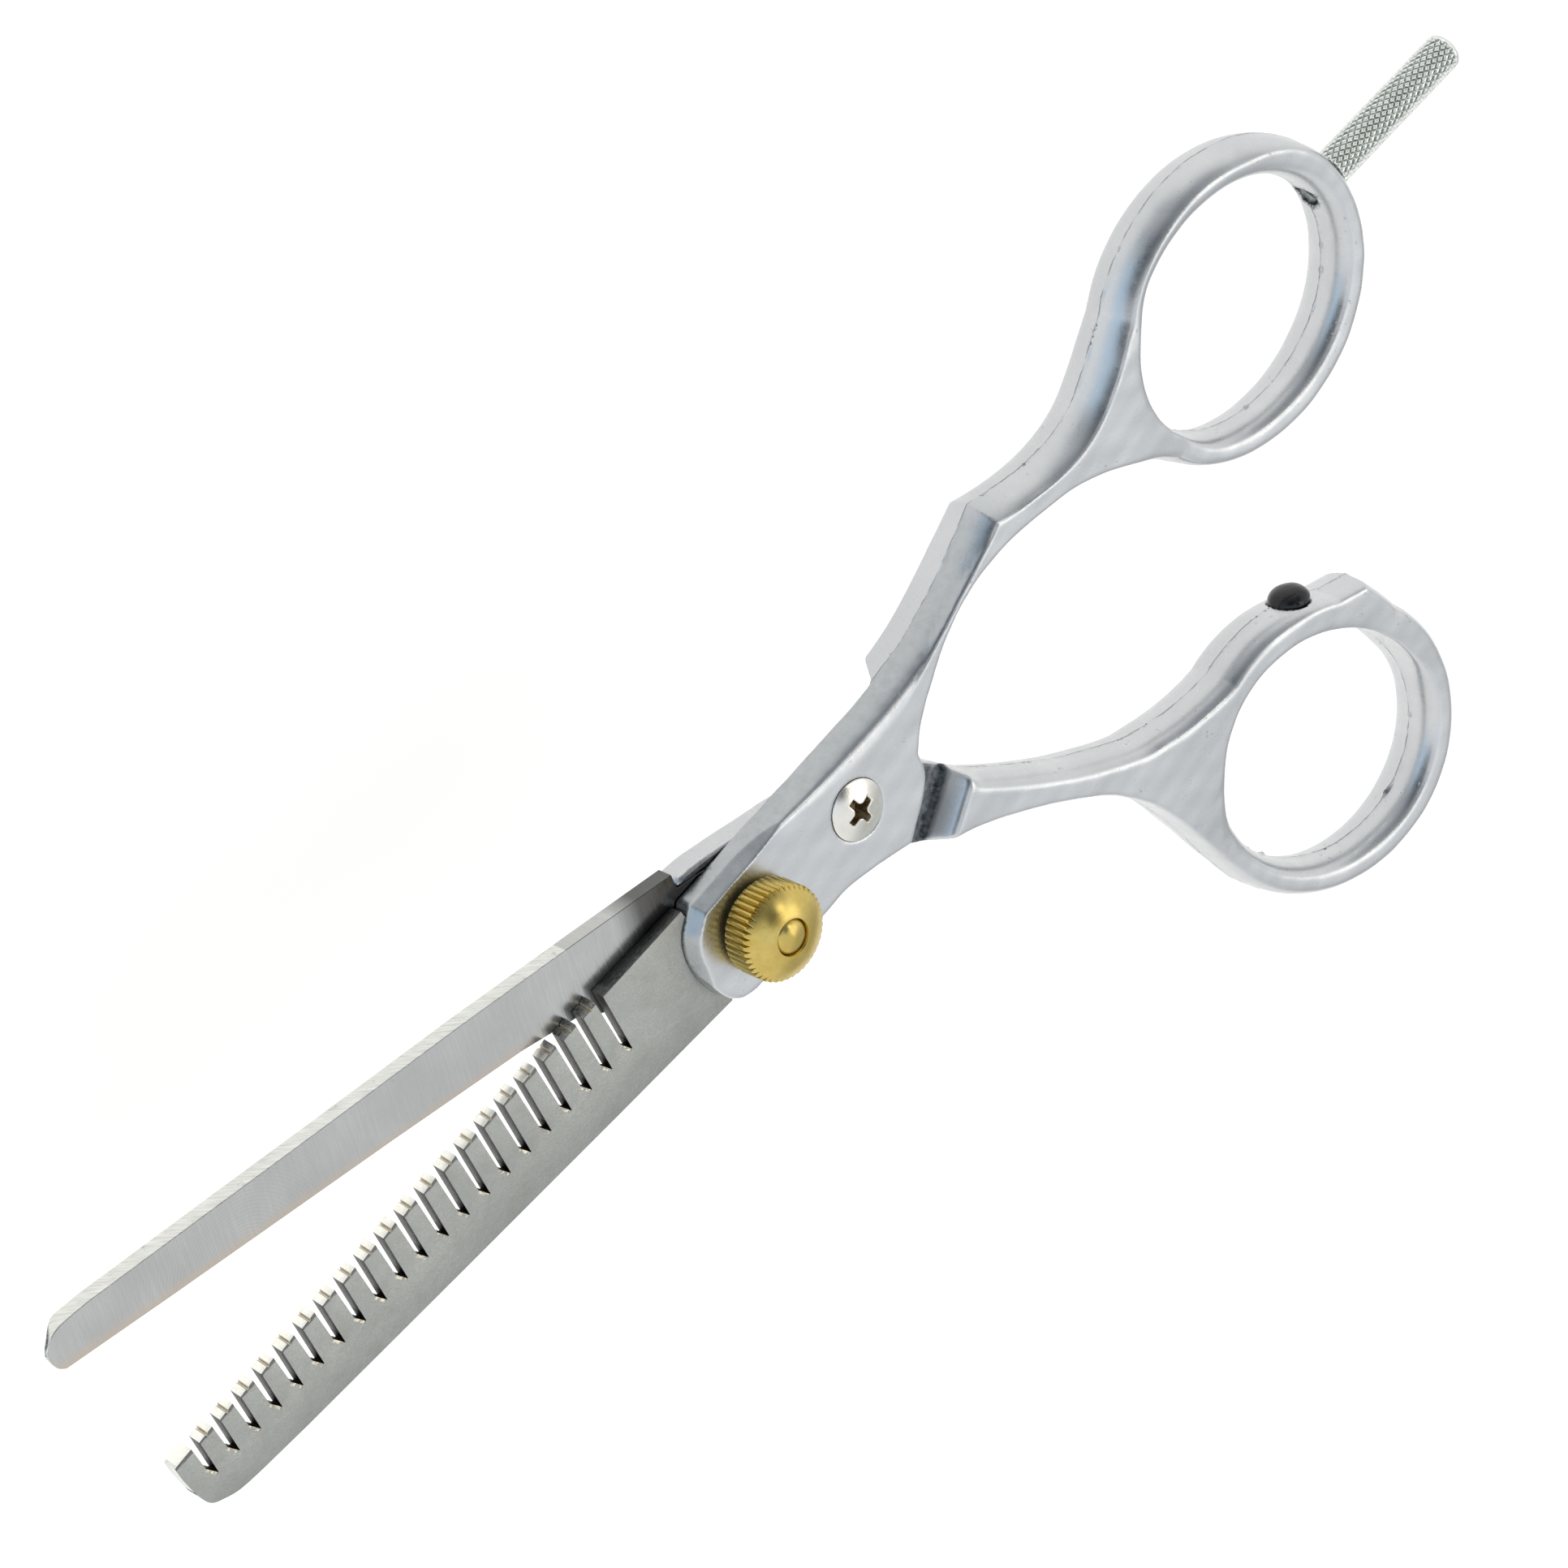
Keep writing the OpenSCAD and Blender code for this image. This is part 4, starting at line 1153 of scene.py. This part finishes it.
def riding_face(name):
    """Ground across the blade, with arcs towards the tip."""
    mat = Material(name)
    broad = mat.noise(0.15)
    spot = mat.noise(1.1, 4, 0.7)
    lines = mat.noise(1.0, 3, 0.6, stretch=(3.4, 0.22, 0.5), distortion=0.25)
    colour = mat.ramp(broad, (0.475, 0.475, 0.465), (0.535, 0.535, 0.52))
    colour = mat.tint(colour, (0.42, 0.42, 0.405), by=lines, span=(0.35, 0.65), amount=0.35)
    centred = mat.vector("SUBTRACT", mat.mm, (57.0, 1.5, 0.0))
    arcs = mat.value("TexWave", {"Vector": centred, "Scale": 0.9, "Distortion": 0.8,
                                 "Detail": 2}, "Fac",
                     wave_type="RINGS", rings_direction="Z", wave_profile="SIN")
    x, y, _ = mat.xyz(mat.mm)
    zone = x.remap((44, 54)) * x.remap((72, 64))
    colour = mat.mix(arcs * (zone * 0.16), colour, (0.33, 0.33, 0.32))
    # warm band along the cutting edge, past the heel
    edge = (y + mat.noise(0.35, 3, 0.6) * 0.5).remap((-1.7, -0.6), to=(0, 0.62))
    colour = mat.mix(edge * x.remap((20, 26)), colour, (0.58, 0.47, 0.36))
    # painted shade round the pivot, under the front plate and the toothed blade
    colour = mat.mix(x.remap((9.5, 12.5), to=(0.9, 0)), colour, (0.085, 0.085, 0.083))
    return mat.finish(stained(mat, colour, spot), metallic=1.0,
                      roughness=lines.remap((0.3, 0.7), to=(0.20, 0.29)),
                      Normal=mat.bump(lines, depth_mm=0.02, strength=0.5))


def slot_chamfer(mat, along, across):
    """Mask of a broken strip along each slot's slanted top."""
    slope = (0.854, 0.521)                             # unit vector across the strip
    above = above_slot_top(along, across)
    phase = mat.math("FRACT", (along - LAST_SLOT_X) / PITCH + 40.5)
    from_slot = (phase - 0.5) * PITCH
    corner_x, corner_y = from_slot - SLOT_CORNER[0], above + SLOT_CORNER[1]
    away = corner_x * slope[0] + corner_y * slope[1]
    run = corner_x * -slope[1] + corner_y * slope[0]
    mask = away.remap((-0.05, 0.0)) * away.remap((0.26, 0.34), to=FALL)
    mask = mask * (run.remap((-0.05, 0.15)) * run.remap((1.25, 1.45), to=FALL))
    mask = mask * (along.remap((15.2, 15.4)) * along.remap((70.6, 70.8), to=FALL))
    return mask * mat.noise(2.6, 3, 0.6).remap((0.38, 0.55))


def blasted_face(name):
    """Fine blasted grain, light strips at the slot tops and a strip of painted shade along the
    teeth.
    """
    mat = Material(name)
    broad = mat.noise(0.15)
    spot = mat.noise(1.1, 4, 0.7)
    grain = mat.noise(7.0, 3, 0.7)
    blot = mat.noise(0.38, 4, 0.6)
    colour = mat.ramp(broad, (0.395, 0.40, 0.38), (0.455, 0.46, 0.435))
    colour = mat.tint(colour, (0.34, 0.335, 0.31), by=blot, span=(0.48, 0.72), amount=0.5)
    colour = mat.tint(colour, (0.33, 0.33, 0.305), by=grain, span=(0.35, 0.65), amount=0.55)
    x, y, _ = mat.xyz(mat.mm)
    along, across = along_toothed(x, y), across_toothed(x, y)
    chamfer = slot_chamfer(mat, along, across)
    colour = mat.mix(chamfer, colour, (0.86, 0.80, 0.64))
    # painted shade in a ragged strip along the tooth ends, standing in for their chamfer
    from_edge = across - (along * EDGE_SLOPE + (EDGE_Y - EDGE_SLOPE * EDGE_X))
    ragged = from_edge + mat.noise(2.0, 2, 0.5) * 0.25
    strip = ragged.remap((0.34, 0.44), to=FALL) * along.remap((16.0, 16.3))
    colour = mat.mix(strip * 0.85, colour, (0.125, 0.125, 0.12))
    bumps = mat.bump(grain + spot * 1.8, depth_mm=0.045, strength=0.7)
    bumps = mat.bump(chamfer, depth_mm=0.15, strength=0.6, normal=bumps)
    return mat.finish(stained(mat, colour, spot), metallic=1.0,
                      roughness=grain.remap((0.3, 0.7), to=(0.34, 0.46)), Normal=bumps)


def slot_wall(name):
    mat = Material(name)
    mottle = mat.noise(2.2, 4, 0.7, stretch=(1, 1, 2))
    blot = mat.noise(0.8, 3, 0.6)
    # sawn walls, their dark colour partly painted shade
    colour = mat.ramp(mottle, (0.065, 0.062, 0.058), (0.27, 0.27, 0.265), span=(0.32, 0.68))
    colour = mat.tint(colour, (0.14, 0.125, 0.115), by=blot, span=(0.5, 0.72), amount=0.5)
    x, y, z = mat.xyz(mat.mm)
    along, across = along_toothed(x, y), across_toothed(x, y)
    # painted shade, nearly black, at the slot tops
    height = above_slot_top(along, across) + mottle * 0.5
    end = height.remap((-1.0, -0.75)) * along.remap((14.8, 15.2))
    colour = mat.mix(end * 0.95, colour, (0.022, 0.016, 0.010))
    # painted shade: the plain heel edge is darker towards the riding face
    heel = along.remap((15.2, 14.8)) \
        * z.remap((MATING_Z + 0.2, MATING_Z + 1.3), to=(0.85, 0.15))
    colour = mat.mix(heel, colour, (0.035, 0.035, 0.035))
    return mat.finish(colour, metallic=0.9, roughness=mottle.remap((0.3, 0.7), to=(0.42, 0.6)),
                      Normal=mat.bump(mottle, depth_mm=0.06, strength=0.7))


def tooth_groove(name):
    mat = Material(name)
    mottle = mat.noise(3.5, 3, 0.6)
    colour = mat.ramp(mottle, (0.52, 0.46, 0.34), (0.68, 0.62, 0.50))
    return mat.finish(colour, metallic=0.9, roughness=mottle.remap((0.3, 0.7), to=(0.4, 0.55)),
                      Normal=mat.bump(mottle, depth_mm=0.03, strength=0.5))


def tooth_end(name):
    """Bright, with painted shadow on the teeth nearest the heel."""
    mat = Material(name)
    mottle = mat.noise(3.5, 3, 0.6)
    blot = mat.noise(0.8, 2, 0.5)
    colour = mat.ramp(mottle, (1.0, 0.99, 0.93), (0.94, 0.92, 0.84))
    colour = mat.tint(colour, (0.82, 0.77, 0.62), by=blot, span=(0.55, 0.75), amount=0.35)
    x, y, _ = mat.xyz(mat.mm)
    # painted shadow on the teeth nearest the heel, where they lie over the straight blade
    heel = along_toothed(x, y).remap((21.5, 24.5), to=FALL) \
        * mottle.remap((0.30, 0.62), to=(0.95, 0.6))
    colour = mat.mix(heel, colour, (0.07, 0.07, 0.065))
    return mat.finish(colour, metallic=1.0, roughness=mottle.remap((0.3, 0.7), to=(0.30, 0.45)),
                      Normal=mat.bump(mottle, depth_mm=0.03, strength=0.4))


def spine_steel(name):
    """Slanting grinding lines across the blade's thickness."""
    mat = Material(name)
    x, _, z = mat.xyz(mat.mm)
    slanted = mat.plane(x + z * 0.75, z * 0.12)
    lines = mat.noise(2.6, 4, 0.7, at=slanted)
    wide = mat.noise(0.45, 2, 0.5, at=slanted)
    spots = mat.noise(1.3, 3, 0.6)
    colour = mat.mix(lines.remap((0.32, 0.62), to=FALL), (0.80, 0.80, 0.765),
                     (0.55, 0.55, 0.52))
    colour = mat.tint(colour, (0.30, 0.30, 0.29), by=spots, span=(0.64, 0.74), amount=0.55)
    return mat.finish(colour, metallic=1.0, roughness=lines.remap((0.3, 0.7), to=(0.22, 0.36)),
                      Normal=mat.bump(lines + wide * 1.6, depth_mm=0.06, strength=0.6))


def tip_steel(name):
    mat = Material(name)
    mottle = mat.noise(1.6, 3, 0.6)
    # painted reflection: the tip's blue tint stands in for the surroundings it reflects
    colour = mat.ramp(mottle, (0.30, 0.42, 0.52), (0.56, 0.68, 0.76))
    return mat.finish(colour, metallic=1.0, roughness=mottle.remap((0.3, 0.7), to=(0.2, 0.34)),
                      Normal=mat.bump(mottle, depth_mm=0.03, strength=0.5))


# ------------------------------------------------------------------ other materials
def brass(name):
    """Turning marks round the Z axis, with some dirt."""
    mat = Material(name)
    x, y, z = mat.xyz(mat.mm)
    radius = mat.math("SQRT", mat.math("POWER", x, 2.0) + mat.math("POWER", y, 2.0))
    marks = mat.noise(9.0, 3, 0.7, at=mat.plane(radius, z))
    broad = mat.noise(0.5, 3, 0.55)
    dirt = mat.noise(1.6, 4, 0.65)
    colour = mat.ramp(broad, (0.52, 0.385, 0.10), (0.61, 0.47, 0.15))
    colour = mat.tint(colour, (0.32, 0.215, 0.06), by=dirt, span=(0.6, 0.8), amount=0.45)
    rough = marks.remap((0.3, 0.7), to=(0.20, 0.27)) + dirt.remap((0.5, 0.8), to=(0, 0.1))
    return mat.finish(colour, metallic=1.0, roughness=rough,
                      Normal=mat.bump(marks, depth_mm=0.014, strength=0.4),
                      Anisotropic=0.75, Anisotropic_Rotation=0.25,
                      Tangent=mat.value("Tangent", direction_type="RADIAL", axis="Z"))


def nickel(name):
    mat = Material(name)
    broad = mat.noise(0.8, 3, 0.55)
    fine = mat.noise(7.0, 3, 0.6)
    colour = mat.ramp(broad, (0.72, 0.69, 0.63), (0.80, 0.78, 0.73), span=(0.3, 0.7))
    rough = broad.remap((0.3, 0.7), to=(0.13, 0.22)) + fine.remap((0.3, 0.7), to=(0, 0.05))
    return mat.finish(colour, metallic=1.0, roughness=rough,
                      Normal=mat.bump(fine, depth_mm=0.012, strength=0.4))


def recess_metal(name):
    mat = Material(name)
    mottle = mat.noise(3.0, 4, 0.6)
    colour = mat.ramp(mottle, (0.16, 0.105, 0.045), (0.36, 0.27, 0.15))
    return mat.finish(colour, metallic=0.85,
                      roughness=mottle.remap((0.3, 0.7), to=(0.28, 0.5)),
                      Normal=mat.bump(mottle, depth_mm=0.05, strength=0.6))


def knurled_steel(name):
    """Plated steel, dark in the knurl's grooves, with painted shade at grazing angles."""
    mat = Material(name)
    broad = mat.noise(0.7, 3, 0.6)
    fine = mat.noise(5.0, 3, 0.6)
    colour = mat.ramp(broad, (0.82, 0.84, 0.79), (0.92, 0.93, 0.89))
    colour = mat.tint(colour, (0.36, 0.38, 0.34), by=fine, span=(0.55, 0.75), amount=0.4)
    pointiness = mat.value("NewGeometry", output="Pointiness")
    colour = mat.mix(pointiness.remap((0.44, 0.50), to=(0.8, 0.0)), colour,
                     (0.135, 0.155, 0.125))
    # painted shade where the surface is seen at a grazing angle
    facing = mat.value("LayerWeight", output="Facing")
    colour = mat.tint(colour, (0.36, 0.385, 0.38), by=facing, span=(0.45, 0.9), amount=0.6)
    return mat.finish(colour, metallic=1.0, roughness=fine.remap((0.3, 0.7), to=(0.26, 0.38)),
                      Normal=mat.bump(fine, depth_mm=0.015, strength=0.4),
                      Specular_Tint=(0.62, 0.65, 0.64, 1))


def rubber(name):
    mat = Material(name)
    mottle = mat.noise(2.4, 4, 0.65)
    dust = mat.noise(9.0, 2, 0.6)
    colour = mat.ramp(mottle, (0.006, 0.006, 0.007), (0.014, 0.014, 0.016), span=(0.4, 0.7))
    colour = mat.tint(colour, (0.16, 0.16, 0.16), by=dust, span=(0.70, 0.78), amount=0.5)
    return mat.finish(colour, metallic=0.0, roughness=mottle.remap((0.3, 0.7), to=(0.06, 0.15)),
                      Normal=mat.bump(mottle, depth_mm=0.05, strength=0.40),
                      Specular_IOR_Level=0.34)


def dark_steel(name):
    mat = Material(name)
    mottle = mat.noise(2.0, 4, 0.6)
    colour = mat.ramp(mottle, (0.16, 0.155, 0.15), (0.26, 0.255, 0.25), span=(0.3, 0.7))
    return mat.finish(colour, metallic=1.0, roughness=mottle.remap((0.3, 0.7), to=(0.3, 0.45)),
                      Normal=mat.bump(mottle, depth_mm=0.02, strength=0.4))


# ------------------------------------------------------------------ finishing the pieces
def finish_piece(ob, node, body, materials, face_slots=None):
    ob.data.transform(Matrix.Translation((0, 0, MATING_Z * MM)))
    ob.data.materials.clear()
    for material in materials:
        ob.data.materials.append(material)
    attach(ob, body)
    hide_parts(node)
    if face_slots is not None:
        ob.data.polygons.foreach_set("material_index", face_slots)


finger_alloy = cast_alloy("satin_cast_alloy_front", seed=0.0, pitting=0.35, finger_half=True)
thumb_alloy = cast_alloy("satin_cast_alloy_back", seed=37.0, pitting=0.40, finger_half=False)
finish_piece(finger, "finger_handle", "finger_half", [finger_alloy])
finish_piece(thumb, "thumb_handle", "thumb_half", [thumb_alloy])
wall_steel = slot_wall("sawn_and_shaded_slot_walls")
ground_steel = spine_steel("cross_ground_spine")
finish_piece(toothed, "toothed_blade", "finger_half",
             [blasted_face("blasted_steel_front"), wall_steel, tooth_end("bright_tooth_ends"),
              ground_steel, tooth_groove("tooth_grooves")],
             classify(toothed, toothed_slots, TOOTHED_TURN))
finish_piece(straight, "straight_blade", "thumb_half",
             [riding_face("ground_riding_face"), ground_steel, tip_steel("ground_tip"),
              ground_steel],
             classify(straight, straight_slots))
finish_piece(nut, "tension_nut", "nut", [brass("turned_brass_nut")])
finish_piece(pivot, "pivot_screw", "thumb_half", [brass("turned_brass_pivot")])
for screw, node, body, face_slots in (
        (screw_above, "front_blade_screw", "finger_half", above_slots),
        (screw_below, "back_blade_screw", "thumb_half", below_slots)):
    finish_piece(screw, node, body,
                 [nickel("nickel_" + body), recess_metal("recess_" + body)], face_slots)
finish_piece(rest, "finger_rest", "finger_half",
             [knurled_steel("knurled_plated_steel")])
finish_piece(bumper, "rubber_bumper", "thumb_half", [rubber("glossy_black_rubber")])
finish_piece(washer, "spring_washer", "thumb_half",
             [dark_steel("dark_spring_steel")])


# ------------------------------------------------------------------ camera
def add_camera():
    """Set up from where the drawing's plane and origin lie in the camera's frame."""
    tilt, bearing = math.radians(43.5), math.radians(22.5)
    # the drawing's origin on the top face, 600 mm in front of the camera
    origin = np.array([-1.874549387, -13.842826244, -600.0])
    model_z = np.array([math.sin(tilt) * math.cos(bearing), -math.sin(tilt) * math.sin(bearing),
                        math.cos(tilt)])
    drawing_y = np.array([math.sin(bearing), math.cos(bearing), 0.0])
    drawing_x = np.cross(drawing_y, model_z)
    c, s = math.cos(-DRAWING_TURN), math.sin(-DRAWING_TURN)
    model_x = c * drawing_x + s * drawing_y
    model_y = -s * drawing_x + c * drawing_y
    to_model_axes = np.column_stack([model_x, model_y, model_z]).T
    model_origin = (origin + PIVOT_AT[0] * drawing_x + PIVOT_AT[1] * drawing_y
                    - (HALF_THICK + MATING_Z) * model_z)
    position = -to_model_axes @ model_origin * MM
    camera = add_object("camera", bpy.data.cameras.new("camera"))
    camera.matrix_world = Matrix(
        [(*to_model_axes[i], position[i]) for i in range(3)] + [(0, 0, 0, 1)])
    camera.data.sensor_width = 36.0
    camera.data.lens = 155.06832298
    camera.data.clip_start = 0.01
    camera.data.clip_end = 20
    scene.camera = camera


# ------------------------------------------------------------------ floor and light
def pale_floor():
    """Faintly glowing from above, see-through from below."""
    mat = Material("pale_floor")
    colour = mat.mix(mat.noise(0.02, 2), (0.80, 0.80, 0.80), (0.79, 0.79, 0.79))
    mat.finish(colour, metallic=0.0, roughness=0.7,
               Emission_Color=(1.0, 0.965, 0.915, 1), Emission_Strength=0.46)
    sides = mat.value("MixShader", {0: mat.value("NewGeometry", output="Backfacing"),
                                    1: Value(mat, mat.principled.outputs[0]),
                                    2: mat.value("BsdfTransparent")})
    mat.plug(mat.output.inputs[0], sides)
    return mat.material


def add_floor(z=-0.030, radius=3.0):
    """A disc; its height and radius are in metres."""
    bm = bmesh.new()
    bmesh.ops.create_circle(bm, cap_ends=True, segments=96, radius=radius)
    bmesh.ops.translate(bm, verts=bm.verts, vec=(0, 0, z))
    floor = object_from(bm, "floor")
    floor.data.materials.append(pale_floor())
    if floor.data.polygons[0].normal.z < 0:
        floor.data.flip_normals()


STUDIO_COLOUR = (1.06, 1.06, 1.05)
# round patches on the studio's walls, later ones over earlier ones: direction (drawing x and y,
# model z), degrees from the centre where it is full and where it has faded out, colour
STUDIO_PATCHES = [
    ((0.688, 0.0, 0.725), 15, 50, (0.99, 1.01, 1.04)),
    ((1.0, 0.0, 0.22), 15, 40, (0.60, 0.62, 0.63)),
    ((-0.35, 0.62, 0.68), 14, 40, (0.33, 0.355, 0.38)),
    ((-0.95, 0.25, 0.20), 15, 40, (0.48, 0.51, 0.54)),
    ((-0.93, -0.22, 0.26), 10, 32, (0.68, 0.88, 1.08)),
    ((-0.72, 0.10, 0.70), 11, 32, (0.10, 0.118, 0.138)),
    ((-0.05, -0.12, 1.0), 8, 24, (0.95, 1.03, 1.12)),
    ((0.02, 0.24, 0.97), 8, 18, (0.10, 0.105, 0.11)),
    ((0.10, 0.47, 0.88), 3, 9, (2.9, 2.85, 2.7)),
    ((0.45, 0.32, 0.83), 7, 19, (2.1, 2.07, 2.0)),
]


def add_world():
    world = bpy.data.worlds.new("studio")
    scene.world = world
    tree = Tree(world)
    output = tree.node("OutputWorld")
    view = tree.value("TexCoord", output="Generated")
    colour = STUDIO_COLOUR
    for direction, full, faded, patch_colour in STUDIO_PATCHES:
        toward = np.append(rotate(direction[:2], DRAWING_TURN), direction[2])
        toward /= np.linalg.norm(toward)
        facing = tree.vector("DOT_PRODUCT", view, tuple(toward), "Value")
        span = (math.cos(math.radians(faded)), math.cos(math.radians(full)))
        patch = facing.remap(span, interpolation_type="SMOOTHSTEP")
        colour = tree.mix(patch, colour, patch_colour)
    tree.plug(output.inputs[0], tree.value("Background", {0: colour, 1: 1.0}))


add_camera()
add_floor()
add_world()
scene.view_settings.view_transform = "Standard"
scene.view_settings.look = "None"
scene.view_settings.exposure = 0.0
scene.view_settings.gamma = 1.0
